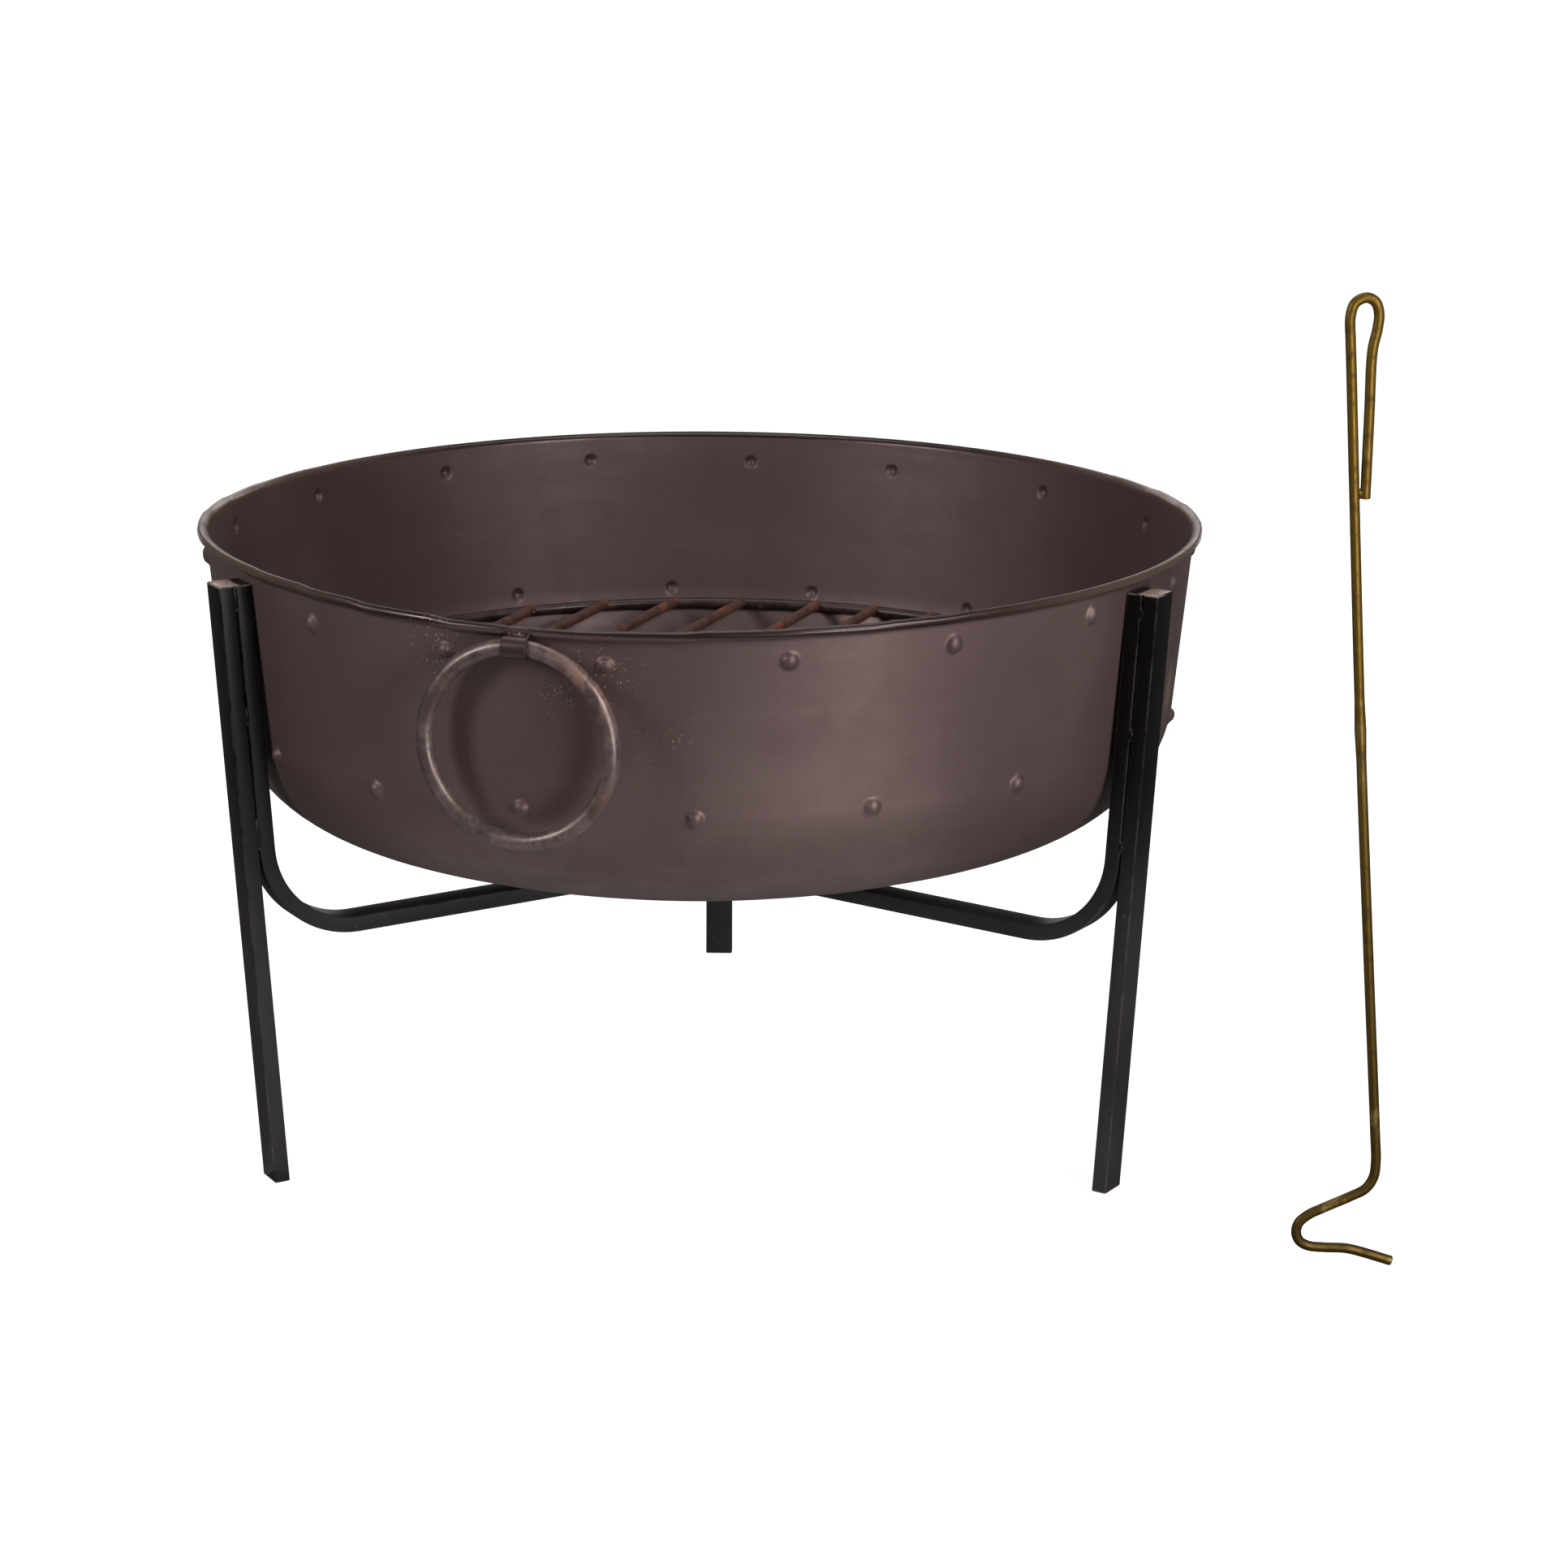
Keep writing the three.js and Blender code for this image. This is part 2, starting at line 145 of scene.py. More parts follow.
# The hand-finished rim's height above a flat circle, in mm, by azimuth. The lift starts at a height
# just under the rim, and grows towards it.
RIM_LIFT_START_Z = 408 * MM
RIM_LIFT = [
    (-180, -0.5), (-125, -0.2), (-105, 1.0), (-84, 4.4), (-68, 6.0), (-53, 6.0), (-40, 3.2),
    (-30, 0.6), (-20, -1.8), (-8, -1.8), (2, -0.4), (9, 0.6), (18, 1.1), (25, 1.9), (34, 2.8),
    (48, 3.4), (70, 3.7), (91, 3.4), (105, 1.4), (120, -0.4), (180, -0.5),
]
RIM_SMOOTHING_PASSES = 60

# Handles
HANDLE_RING_RADIUS = 62.6 * MM
HANDLE_ROD_RADIUS = 5.6 * MM
HANDLE_STEPS, HANDLE_SIDES = 160, 24
HANDLE_RISE = 0.32 * MM
SLEEVE_LENGTH = 16.6 * MM
SLEEVE_RADIUS = 7.2 * MM
SLEEVE_BORE_RADIUS = 6.4 * MM
SLEEVE_EASE = 0.3 * MM
SLEEVE_CROWN = 0.15 * MM
SLEEVE_SIDES = 32
SLEEVE_WELD_SEED = 7
# Where the beads over the sleeve stand along it, in mm
SLEEVE_WELD_OFFSETS = (-5.2, -3.4, -1.4, 0.6, 2.4, 4.4, 5.8)
RUST_EDGE_RADIUS = 0.6 * MM
# Weld spatter by each handle: distance along the wall, distance below the hinge and reach, in mm
SPATTER_PATCHES = [(-60, 8, 36), (56, 12, 34), (92, 56, 42), (24, 34, 22)]
# How far from each hinge the sleeve's dark scale goes, in mm
SLEEVE_REACH = 14
# A tan scorch on the wall
SCORCH_AZIMUTH = 75
SCORCH_Z = 328 * MM

# Grate
GRATE_RING_RADIUS = 323.6 * MM
GRATE_ROD_RADIUS = 4 * MM
GRATE_RING_STEPS, GRATE_RING_SIDES = 300, 20
GRATE_Z = 295 * MM
GRATE_BAR_AZIMUTH = -20
GRATE_BAR_OFFSETS = [-284, -236, -191, -143, -93, -34, 13, 63, 112, 161, 211, 261]
GRATE_BAR_RADIUS = GRATE_ROD_RADIUS * 0.98
GRATE_BAR_POINTS, GRATE_BAR_SIDES = 15, 16
GRATE_BAR_RISE = 1 * MM
# How far past the hoop's middle a bar reaches, and how far inside the bar's end its weld lies
GRATE_BAR_OVERLAP = 1 * MM
GRATE_WELD_INSET = 4.5 * MM
GRATE_WELD_DROP = 0.6 * MM

# Poker. Its outline is the wire's centreline, from the loop's closed end down to the hook's tip:
# sideways and up from the floor, in mm. Its plane is turned by POKER_TURN degrees.
POKER_TURN = 2.4
POKER_ROD_RADIUS = 3.3 * MM
POKER_OUTLINE = [
    [-3.2, 508.4], [-3.1, 560], [-2.9, 600], [-0.5, 613], [0, 622.7], [-2.5, 629.4], [-8.1, 632],
    [-14.7, 628.8], [-17.3, 620.7], [-16.6, 606], [-15.4, 589.3], [-9.5, 502.6], [0.5, 361.2],
    [13, 205], [22.3, 92], [23.7, 72.1], [22.6, 61.4], [17.7, 53.5], [8, 48.2], [-9, 40.4],
    [-18.6, 35.6], [-24.6, 30], [-26, 23.2], [-23.6, 17.5], [-17.7, 14.1], [-8, 13], [6.3, 12.3],
    [14, 10.6], [36.5, 3.5],
]
POKER_STEPS, POKER_SIDES = 8, 20
POKER_KINK_Z = 361 * MM
POKER_KINK_SWELL = 0.16
POKER_KINK_LENGTH = 2.2 * MM
POKER_WELD = (-6.6, 511)

# A rod's eased end: the last ring's share of the rod's radius, and how far out it stands
EASED_END_SHARE = 0.82
GRATE_BAR_EASE = 0.8 * MM
POKER_EASE = 0.5 * MM

# Camera, placed from the point where the bowl's axis meets the floor, in metres and degrees
CAMERA_AZIMUTH = 2.43
CAMERA_DISTANCE = 2.6018
CAMERA_HEIGHT = 0.9576
CAMERA_HEADING = 1.13
CAMERA_PITCH = 15.515
CAMERA_ROLL = 0.271
CAMERA_LENS = 86.52
SENSOR_WIDTH = 36

# Studio, in metres, degrees and watts. Each softbox has a name, azimuth, elevation, distance, size
# and power.
FLOOR_SIZE = 400
WORLD_STRENGTH = 0.09
SOFTBOX_TARGET_Z = 0.3
SOFTBOXES = [
    ("key", 42, 27, 2.0, (0.7, 0.7), 19),
    ("low_key", 32, 0, 2.0, (0.5, 0.4), 15),
    ("fill", -56, 26, 2.0, (0.4, 0.6), 17),
    ("top", 180, 80, 2.2, (1.4, 1.4), 19),
    ("rim", 180, 20, 2.4, (2.6, 0.5), 6),
    ("bounce", -5, -55, 0.36, (0.7, 0.7), 0.5),
    ("backdrop", 180, -3, 2.4, (3.0, 0.3), 5),
]


# ---------------------------------------------------------------- geometry

def outward(azimuth):
    """Unit vector pointing out from the bowl's axis."""
    a = math.radians(azimuth)
    return Vector((math.sin(a), -math.cos(a), 0))


def along(azimuth):
    """Unit vector along the tangent, towards growing azimuth."""
    a = math.radians(azimuth)
    return Vector((math.cos(a), math.sin(a), 0))


def azimuth_of(point):
    return math.degrees(math.atan2(point.x - AXIS.x, AXIS.y - point.y))


def centre_of(node):
    low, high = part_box(node)
    return (low + high) / 2


def wall_lean():
    across = WALL_TOP_RADIUS - CORNER_R
    up = WALL_TOP_Z - CORNER_Z
    return math.acos(CORNER_RADIUS / math.hypot(across, up)) - math.atan2(up, across)


def wall_radius(z):
    return WALL_TOP_RADIUS - (WALL_TOP_Z - z) * math.tan(wall_lean())


def circle(radius, count):
    angles = [2 * math.pi * i / count for i in range(count)]
    return [(radius * math.cos(a), radius * math.sin(a)) for a in angles]


def rounded_rectangle(width, height, corner):
    """Outline of a rectangle with round corners, counter-clockwise, with a point halfway along each side."""
    centres = [(1, 1, 0), (-1, 1, 90), (-1, -1, 180), (1, -1, 270)]
    outline = []
    for sx, sy, start in centres:
        for i in range(TUBE_CORNER_STEPS + 1):
            a = math.radians(start + 90 * i / TUBE_CORNER_STEPS)
            x = sx * (width / 2 - corner) + corner * math.cos(a)
            y = sy * (height / 2 - corner) + corner * math.sin(a)
            outline.append((x, y))
        if start in (0, 180):
            outline.append((0, sy * height / 2))
        else:
            outline.append((sx * width / 2, 0))
    return outline


def ring_at(section, centre, across, up):
    return [centre + across * x + up * y for x, y in section]


def loft(rings, closed=False):
    """Vertices and faces of a skin over rings of equal point counts, capped at its ends unless closed."""
    count = len(rings[0])
    vertices = [point for ring in rings for point in ring]
    faces = []
    spans = len(rings) if closed else len(rings) - 1
    for i in range(spans):
        a = i * count
        b = ((i + 1) % len(rings)) * count
        for k in range(count):
            n = (k + 1) % count
            faces.append((a + k, a + n, b + n, b + k))
    if not closed:
        faces.append(tuple(range(count))[::-1])
        last = (len(rings) - 1) * count
        faces.append(tuple(last + k for k in range(count)))
    return vertices, faces


def planar_sweep(points, normal, section, closed=False, scales=None):
    """Rings along a path in a plane; the section's x is in the plane and its y along the normal."""
    count = len(points)
    rings = []
    for i, point in enumerate(points):
        before = points[i - 1] if closed or i > 0 else point
        after = points[(i + 1) % count] if closed or i < count - 1 else point
        tangent = (after - before).normalized()
        across = normal.cross(tangent)
        size = scales[i] if scales else 1
        rings.append([point + across * (x * size) + normal * (y * size) for x, y in section])
    return rings


def round_ends(rings, centres, amount):
    """Adds a smaller ring just past each end, so that a rod's end is eased rather than knife sharp."""
    def eased(ring, centre, inner):
        push = (centre - inner).normalized() * amount
        return [centre + (p - centre) * EASED_END_SHARE + push for p in ring]

    first = eased(rings[0], centres[0], centres[1])
    last = eased(rings[-1], centres[-1], centres[-2])
    return [first, *rings, last]


# ---------------------------------------------------------------- node helpers

SCALAR_RESULTS = ("LENGTH", "DISTANCE", "DOT_PRODUCT")


class Graph:
    """Short ways to build a material's node tree."""

    def __init__(self, name):
        self.material = bpy.data.materials.new(name)
        self.material.use_nodes = True
        self.tree = self.material.node_tree
        self.shader = self.tree.nodes["Principled BSDF"]

    def node(self, kind, **values):
        made = self.tree.nodes.new(kind)
        for key, value in values.items():
            setattr(made, key, value)
        return made

    def link(self, source, target):
        self.tree.links.new(source, target)

    def feed(self, socket, value):
        if isinstance(value, bpy.types.NodeSocket):
            self.link(value, socket)
        else:
            socket.default_value = value

    def position(self):
        return self.node("ShaderNodeTexCoord").outputs["Object"]

    def math(self, operation, a, b=0.0, c=0.0):
        made = self.node("ShaderNodeMath", operation=operation)
        for socket, value in zip(made.inputs, (a, b, c)):
            self.feed(socket, value)
        return made.outputs[0]

    def split(self, vector):
        made = self.node("ShaderNodeSeparateXYZ")
        self.link(vector, made.inputs[0])
        return made.outputs

    def join(self, x, y, z):
        made = self.node("ShaderNodeCombineXYZ")
        for socket, value in zip(made.inputs, (x, y, z)):
            self.feed(socket, value)
        return made.outputs[0]

    def vector(self, operation, a, b):
        made = self.node("ShaderNodeVectorMath", operation=operation)
        self.feed(made.inputs[0], a)
        self.feed(made.inputs[1], b)
        return made.outputs["Value"] if operation in SCALAR_RESULTS else made.outputs[0]

    def length(self, vector):
        return self.vector("LENGTH", vector, (0, 0, 0))

    def axis_distance(self, place):
        """Level distance from the bowl's axis."""
        from_axis = self.vector("SUBTRACT", place, tuple(AXIS))
        return self.length(self.vector("MULTIPLY", from_axis, (1, 1, 0)))

    def noise(self, vector, scale, detail=4.0, roughness=0.55):
        made = self.node("ShaderNodeTexNoise")
        self.feed(made.inputs["Vector"], vector)
        made.inputs["Scale"].default_value = scale
        made.inputs["Detail"].default_value = detail
        made.inputs["Roughness"].default_value = roughness
        return made.outputs[0]

    def cells(self, vector, scale):
        made = self.node("ShaderNodeTexVoronoi")
        self.feed(made.inputs["Vector"], vector)
        made.inputs["Scale"].default_value = scale
        return made

    def ramp(self, value, low, high, to_low=0.0, to_high=1.0):
        made = self.node("ShaderNodeMapRange", interpolation_type="SMOOTHSTEP")
        for socket, entry in zip(made.inputs, (value, low, high, to_low, to_high)):
            self.feed(socket, entry)
        return made.outputs[0]

    def mix(self, factor, a, b):
        made = self.node("ShaderNodeMix", data_type="RGBA")
        self.feed(made.inputs["Factor"], factor)
        self.feed(made.inputs["A"], a)
        self.feed(made.inputs["B"], b)
        return made.outputs["Result"]

    def edge_chips_and_highlight(self, place, radius):
        """How much the surface turns within that radius, broken up by noise, for chips and painted
        highlights along hard edges.
        """
        bevel = self.node("ShaderNodeBevel", samples=4)
        bevel.inputs["Radius"].default_value = radius
        straight = self.node("ShaderNodeNewGeometry").outputs["Normal"]
        turned = self.ramp(self.vector("DOT_PRODUCT", bevel.outputs[0], straight), 0.90, 0.99, 1.0, 0.0)
        return self.math("MULTIPLY", turned, self.ramp(self.noise(place, 45, detail=4), 0.40, 0.54))

    def bump(self, height, strength, distance):
        made = self.node("ShaderNodeBump")
        made.inputs["Strength"].default_value = strength
        made.inputs["Distance"].default_value = distance
        self.link(height, made.inputs["Height"])
        self.link(made.outputs[0], self.shader.inputs["Normal"])

    def set(self, **sockets):
        for key, value in sockets.items():
            self.feed(self.shader.inputs[key.replace("_", " ")], value)
        return self.material


def srgb(red, green, blue):
    """A colour given as 0 to 255 screen values, as linear RGBA."""
    def linear(value):
        share = value / 255
        return share / 12.92 if share <= 0.04045 else ((share + 0.055) / 1.055) ** 2.4
    return (linear(red), linear(green), linear(blue), 1)


# ---------------------------------------------------------------- materials

def bowl_steel():
    """Satin brown patina with level spinning streaks, a dark lip with painted sheen and tan rubbing towards
    its left and right, weld spatter and a tan scorch.
    """
    g = Graph("bowl_steel")
    place = g.position()
    split = g.split(g.vector("SUBTRACT", place, tuple(AXIS)))
    turn = g.math("ARCTAN2", split["Y"], split["X"])
    radius = g.axis_distance(place)
    level, in_out = g.math("MULTIPLY", split["Z"], 9), g.math("MULTIPLY", radius, 9)
    streak_place = g.join(g.math("MULTIPLY", turn, 0.5), level, in_out)

    clouds = g.noise(place, 5.5, detail=3)
    mottle = g.noise(place, 38, detail=5, roughness=0.6)
    streaks = g.noise(streak_place, 7.0, detail=6, roughness=0.7)
    tone = g.mix(g.ramp(clouds, 0.35, 0.68), srgb(94, 75, 74), srgb(106, 87, 85))
    tone = g.mix(g.ramp(mottle, 0.35, 0.75, 0, 0.35), tone, srgb(82, 63, 61))
    tone = g.mix(g.ramp(streaks, 0.45, 0.8, 0, 0.35), tone, srgb(112, 93, 90))
    tone = g.mix(scorch(g, place, mottle), tone, srgb(142, 118, 100))

    # The lip is dark at its front and back and turns lighter towards the left and right: painted sheen.
    lip = g.ramp(split["Z"], LIP_TOP_Z - 5 * MM, LIP_TOP_Z - 3.5 * MM)
    edge_share = g.math("DIVIDE", g.math("ABSOLUTE", split["X"]), radius)
    worn = g.ramp(g.noise(place, 30), 0.4, 0.65, 0.2, 0.5)
    # At the far left and right the lip turns tan in noisy patches: partly rubbing, partly painted sheen.
    rubbed = g.math("MULTIPLY", g.ramp(edge_share, 0.86, 0.99), worn)
    lip_tone_with_side_sheen = g.mix(g.ramp(edge_share, 0.45, 0.92), srgb(52, 38, 35), srgb(108, 86, 79))
    tone = g.mix(lip, tone, g.mix(rubbed, lip_tone_with_side_sheen, srgb(138, 114, 104)))

    below_top = g.math("SUBTRACT", WALL_TOP_Z, split["Z"])
    upright_radius = g.math("MULTIPLY_ADD", below_top, math.tan(wall_lean()), radius)
    outside = g.math("GREATER_THAN", upright_radius, WALL_TOP_RADIUS - SHEET / 2)
    mill_scale = g.math("MULTIPLY", g.math("GREATER_THAN", upright_radius, WALL_TOP_RADIUS + 1 * MM),
                        near_handles(g, place, [(0, 0, SLEEVE_REACH)], 0.9))
    tone = g.mix(mill_scale, tone, srgb(72, 56, 54))
    tone, spatter = spatter_over(g, place, tone, outside)
    fine = g.noise(place, 700, detail=3)
    rough = g.math("ADD", g.ramp(mottle, 0.3, 0.7, 0.46, 0.56), g.ramp(streaks, 0.4, 0.8, 0.0, -0.06))
    rough = g.math("ADD", rough, g.math("MULTIPLY", g.math("MAXIMUM", lip, mill_scale), -0.2))
    grain = g.math("MULTIPLY", fine, g.ramp(lip, 0.0, 1.0, 0.5, 0.05))
    g.bump(g.math("ADD", grain, spatter), 0.25, 0.3 * MM)
    return g.set(Base_Color=tone, Metallic=0.5, Roughness=rough)


def scorch(g, place, mottle):
    """How much of a ragged tan scorch lies on the wall, just beyond the front right leg."""
    centre = AXIS + outward(SCORCH_AZIMUTH) * wall_radius(SCORCH_Z) + Vector((0, 0, SCORCH_Z))
    stretched = g.vector("MULTIPLY", g.vector("SUBTRACT", place, tuple(centre)), (1.6, 1.6, 1))
    near = g.ramp(g.length(stretched), 6 * MM, 30 * MM, 0.7, 0.0)
    return g.math("MULTIPLY", near, g.ramp(mottle, 0.42, 0.58))


def near_handles(g, place, patches, core):
    """How near the surface is to the handles' patches, listed like SPATTER_PATCHES; one in their cores."""
    near = 0.0
    for name in HANDLE_NAMES:
        pivot = Vector(JOINTS[f"handle_{name}_swing"]["pos_m"])
        side = along(azimuth_of(pivot))
        for across, drop, reach in patches:
            centre = pivot + side * across * MM - Vector((0, 0, drop * MM))
            distance = g.vector("DISTANCE", place, tuple(centre))
            near = g.math("MAXIMUM", g.ramp(distance, reach * core * MM, reach * MM, 1.0, 0.0), near)
    return near


def spatter_over(g, place, tone, outside):
    """Tan and orange weld spatter outside near each handle. Returns the tone and the spatter's height."""
    specks = g.cells(place, 500)
    tiny = g.ramp(specks.outputs["Distance"], 0.16, 0.36, 0.9, 0.0)
    chance = g.split(specks.outputs["Color"])
    chosen = g.math("GREATER_THAN", chance["X"], 0.62)
    near = near_handles(g, place, SPATTER_PATCHES, 0.4)
    patchy = g.ramp(g.noise(place, 26, detail=3), 0.42, 0.54)
    spatter = g.math("MULTIPLY", g.math("MULTIPLY", tiny, chosen), g.math("MULTIPLY", near, patchy))
    spatter = g.math("MULTIPLY", spatter, outside)
    colour = g.mix(g.ramp(chance["Y"], 0.5, 0.7), srgb(196, 176, 160), srgb(178, 118, 78))
    return g.mix(spatter, tone, colour), spatter


def stand_paint():
    """Satin black paint over square-edged tube, lighter low down with dust and painted sheen, with bright
    chips and painted edge highlights along its edges.
    """
    g = Graph("stand_paint")
    place = g.position()
    height = g.split(place)["Z"]
    patches = g.ramp(g.noise(place, 14, detail=5), 0.3, 0.7, 0.65, 0.95)
    # Grey low down, black higher up: partly dust, partly a painted reflection of the floor on the lower
    # tube.
    dust_and_low_sheen = g.math("MULTIPLY", patches, g.ramp(height, 0.15, 0.31, 1.0, 0.1))
    tone = g.mix(dust_and_low_sheen, srgb(5, 4, 4), srgb(50, 47, 47))
    scuffs = g.ramp(g.noise(place, 260, detail=2), 0.70, 0.76)
    tone = g.mix(g.math("MULTIPLY", scuffs, dust_and_low_sheen), tone, srgb(92, 88, 84))
    # Pale broken lines along the tube's edges: partly chipped paint, partly a painted edge highlight.
    tone = g.mix(g.edge_chips_and_highlight(place, 1.0 * MM), tone, srgb(168, 158, 150))
    rough = g.ramp(dust_and_low_sheen, 0.1, 0.9, 0.3, 0.42)
    g.bump(g.noise(place, 900, detail=2), 0.12, 0.15 * MM)
    return g.set(Base_Color=tone, Metallic=0.0, Roughness=rough, Specular_IOR_Level=0.16)


def bare_tube_end():
    """Ground steel end of a leg under a thin pinkish-brown film, dark towards the arm's end."""
    g = Graph("bare_tube_end")
    place = g.position()
    film = g.noise(place, 160, detail=5)
    tone = g.mix(g.ramp(film, 0.35, 0.7), srgb(214, 186, 174), srgb(134, 112, 106))
    ragged_reach = g.math("MULTIPLY_ADD", film, 5 * MM, g.axis_distance(place))
    # The end turns dark from here over the arm's end.
    dark_edge = LEG_TOP_RADIUS - TUBE_THICKNESS - TUBE_SLIT
    bare = g.ramp(ragged_reach, dark_edge - 0.5 * MM, dark_edge + 0.5 * MM)
    tone = g.mix(bare, srgb(20, 18, 18), tone)
    g.bump(g.noise(place, 1400, detail=2), 0.2, 0.1 * MM)
    metal = g.math("MULTIPLY", bare, 0.6)
    return g.set(Base_Color=tone, Metallic=metal, Roughness=g.ramp(film, 0.3, 0.7, 0.3, 0.45))


def handle_steel():
    """Dark scaled rod with rubbed bright streaks and a bloom of rust on one shoulder."""
    g = Graph("handle_steel")
    place = g.position()
    scale = g.noise(place, 60, detail=6, roughness=0.62)
    grain = g.noise(place, 320, detail=4)
    tone = g.mix(g.ramp(scale, 0.35, 0.7), srgb(90, 75, 73), srgb(120, 102, 99))
    tone = g.mix(g.ramp(grain, 0.5, 0.72, 0, 0.45), tone, srgb(56, 45, 44))
    rust = g.math("MULTIPLY", g.ramp(g.noise(place, 24, detail=5), 0.56, 0.68), g.ramp(grain, 0.35, 0.6))
    front = Vector(JOINTS["handle_front_swing"]["pos_m"])
    shoulder = front + along(azimuth_of(front)) * 46 * MM - Vector((0, 0, 22 * MM))
    worn = g.ramp(g.vector("DISTANCE", place, tuple(shoulder)), 6 * MM, 30 * MM, 0.45, 0.0)
    tone = g.mix(g.math("MULTIPLY", worn, g.ramp(scale, 0.4, 0.55)), tone, srgb(170, 130, 112))
    tone = g.mix(g.math("MULTIPLY", rust, 0.6), tone, srgb(128, 84, 60))
    rough = g.math("ADD", g.ramp(scale, 0.3, 0.7, 0.33, 0.44), g.math("MULTIPLY", rust, 0.2))
    g.bump(g.math("ADD", scale, g.math("MULTIPLY", grain, 0.5)), 0.35, 0.5 * MM)
    return g.set(Base_Color=tone, Metallic=0.45, Roughness=rough)


def grate_ring_steel():
    """Brown-black fire-stained rod with rusty spots."""
    g = Graph("grate_ring_steel")
    place = g.position()
    scale = g.noise(place, 45, detail=6)
    spots = g.ramp(g.noise(place, 60, detail=4), 0.54, 0.64)
    tone = g.mix(g.ramp(scale, 0.35, 0.7), srgb(40, 28, 26), srgb(66, 47, 42))
    tone = g.mix(spots, tone, srgb(100, 58, 40))
    g.bump(scale, 0.4, 0.5 * MM)
    return g.set(Base_Color=tone, Metallic=0.2, Roughness=g.ramp(scale, 0.3, 0.7, 0.34, 0.5))


def rusty_bar():
    """Purple-brown scaled rod, orange towards its ends and underneath."""
    g = Graph("rusty_bar")
    place = g.position()
    reach = g.axis_distance(place)
    height = g.split(place)["Z"]
    scale = g.noise(place, 70, detail=6, roughness=0.65)
    patches = g.noise(place, 22, detail=4)
    tone = g.mix(g.ramp(scale, 0.35, 0.65), srgb(70, 47, 44), srgb(94, 64, 55))
    low = g.ramp(height, GRATE_Z - 2.5 * MM, GRATE_Z + 1 * MM, 0.85, 0.0)
    ends = g.ramp(reach, GRATE_RING_RADIUS - 14 * MM, GRATE_RING_RADIUS - 2 * MM, 0.0, 0.6)
    rust = g.math("MAXIMUM", g.ramp(patches, 0.50, 0.66, 0, 0.8), g.math("MAXIMUM", low, ends))
    rust = g.math("MULTIPLY", rust, g.ramp(scale, 0.30, 0.55))
    tone = g.mix(rust, tone, srgb(128, 74, 44))
    g.bump(scale, 0.5, 0.6 * MM)
    return g.set(Base_Color=tone, Metallic=0.05, Roughness=g.ramp(scale, 0.3, 0.7, 0.55, 0.8))


def poker_finish():
    """Olive-brass lacquer, rubbed pale in patches and dirty towards the hook."""
    g = Graph("poker_finish")
    place = g.position()
    height = g.split(place)["Z"]
    dirt = g.noise(place, 120, detail=5)
    rub = g.noise(place, 40, detail=4)
    tone = g.mix(g.ramp(height, 0.02, 0.60), srgb(80, 60, 14), srgb(104, 78, 15))
    tone = g.mix(g.ramp(dirt, 0.45, 0.75, 0, 0.7), tone, srgb(50, 36, 10))
    low = g.ramp(height, 0.03, 0.20, 1.0, 0.25)
    tone = g.mix(g.math("MULTIPLY", g.ramp(rub, 0.54, 0.66), low), tone, srgb(138, 116, 66))
    g.bump(dirt, 0.3, 0.3 * MM)
    return g.set(Base_Color=tone, Metallic=0.7, Roughness=g.ramp(dirt, 0.3, 0.7, 0.42, 0.55))


def floor_paper():
    """White paper that stays white far from the object and takes a faint shadow under it."""
    g = Graph("floor_paper")
    glow = g.ramp(g.length(g.position()), 0.35, 1.2, 0.84, 1.0)
    white = (1, 1, 1, 1)
    paper = srgb(200, 200, 200)
    return g.set(Base_Color=paper, Roughness=0.9, Emission_Color=white, Emission_Strength=glow)


MATERIALS = {
    "bowl_steel": bowl_steel(),
    "stand_paint": stand_paint(),
    "bare_tube_end": bare_tube_end(),
    "handle_steel": handle_steel(),
    "grate_ring_steel": grate_ring_steel(),
    "rusty_bar": rusty_bar(),
    "poker_finish": poker_finish(),
}


def add_piece(name, shape, body, slot, nodes=(), sharp_degrees=40):
    """A smooth shaded piece that rides on a body and stands for CAD nodes; its slot names its material."""
    vertices, faces = shape
    mesh = bpy.data.meshes.new(name)
    mesh.from_pydata([tuple(v) for v in vertices], [], faces)
    mesh.validate()
    work = bmesh.new()
    work.from_mesh(mesh)
    bmesh.ops.recalc_face_normals(work, faces=work.faces)
    work.to_mesh(mesh)
    work.free()
    mesh.shade_smooth()
    mesh.set_sharp_from_angle(angle=math.radians(sharp_degrees))
    mesh.materials.append(MATERIALS[slot])
    piece = bpy.data.objects.new(name, mesh)
    bpy.context.scene.collection.objects.link(piece)
    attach(piece, body)
    if nodes:
        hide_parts(*nodes)


# ---------------------------------------------------------------- stand

def leg_radius(depth, z):
    """Distance from the bowl's axis of the leg's plane at that depth behind its outer face."""
    return LEG_FOOT_RADIUS + z * math.tan(LEG_LEAN) - depth / math.cos(LEG_LEAN)


def spoke_point(azimuth, radius, z):
    return AXIS + outward(azimuth) * radius + Vector((0, 0, z))


def upright_rings(azimuth, depth, levels, thickness=TUBE_THICKNESS):
    """Level rings up a leaning bar with its outer face at that depth. levels pairs height with inset."""
    rings = []
    for z, inset in levels:
        deep = thickness / math.cos(LEG_LEAN) - 2 * inset
        corner = max(TUBE_CORNER - inset, TUBE_CORNER / 4)
        section = rounded_rectangle(deep, TUBE_WIDTH - 2 * inset, corner)
        centre = spoke_point(azimuth, leg_radius(depth + thickness / 2, z), z)
        rings.append(ring_at(section, centre, outward(azimuth), along(azimuth)))
    return rings


def leg_shape(azimuth):
    levels = [
        (0, TUBE_END_BEVEL),
        (TUBE_END_BEVEL, 0),
        (LEG_TOP_Z / 2, 0),
        (LEG_TOP_Z - TUBE_END_BEVEL, 0),
        (LEG_TOP_Z, TUBE_END_BEVEL),
    ]
    return loft(upright_rings(azimuth, 0, levels))


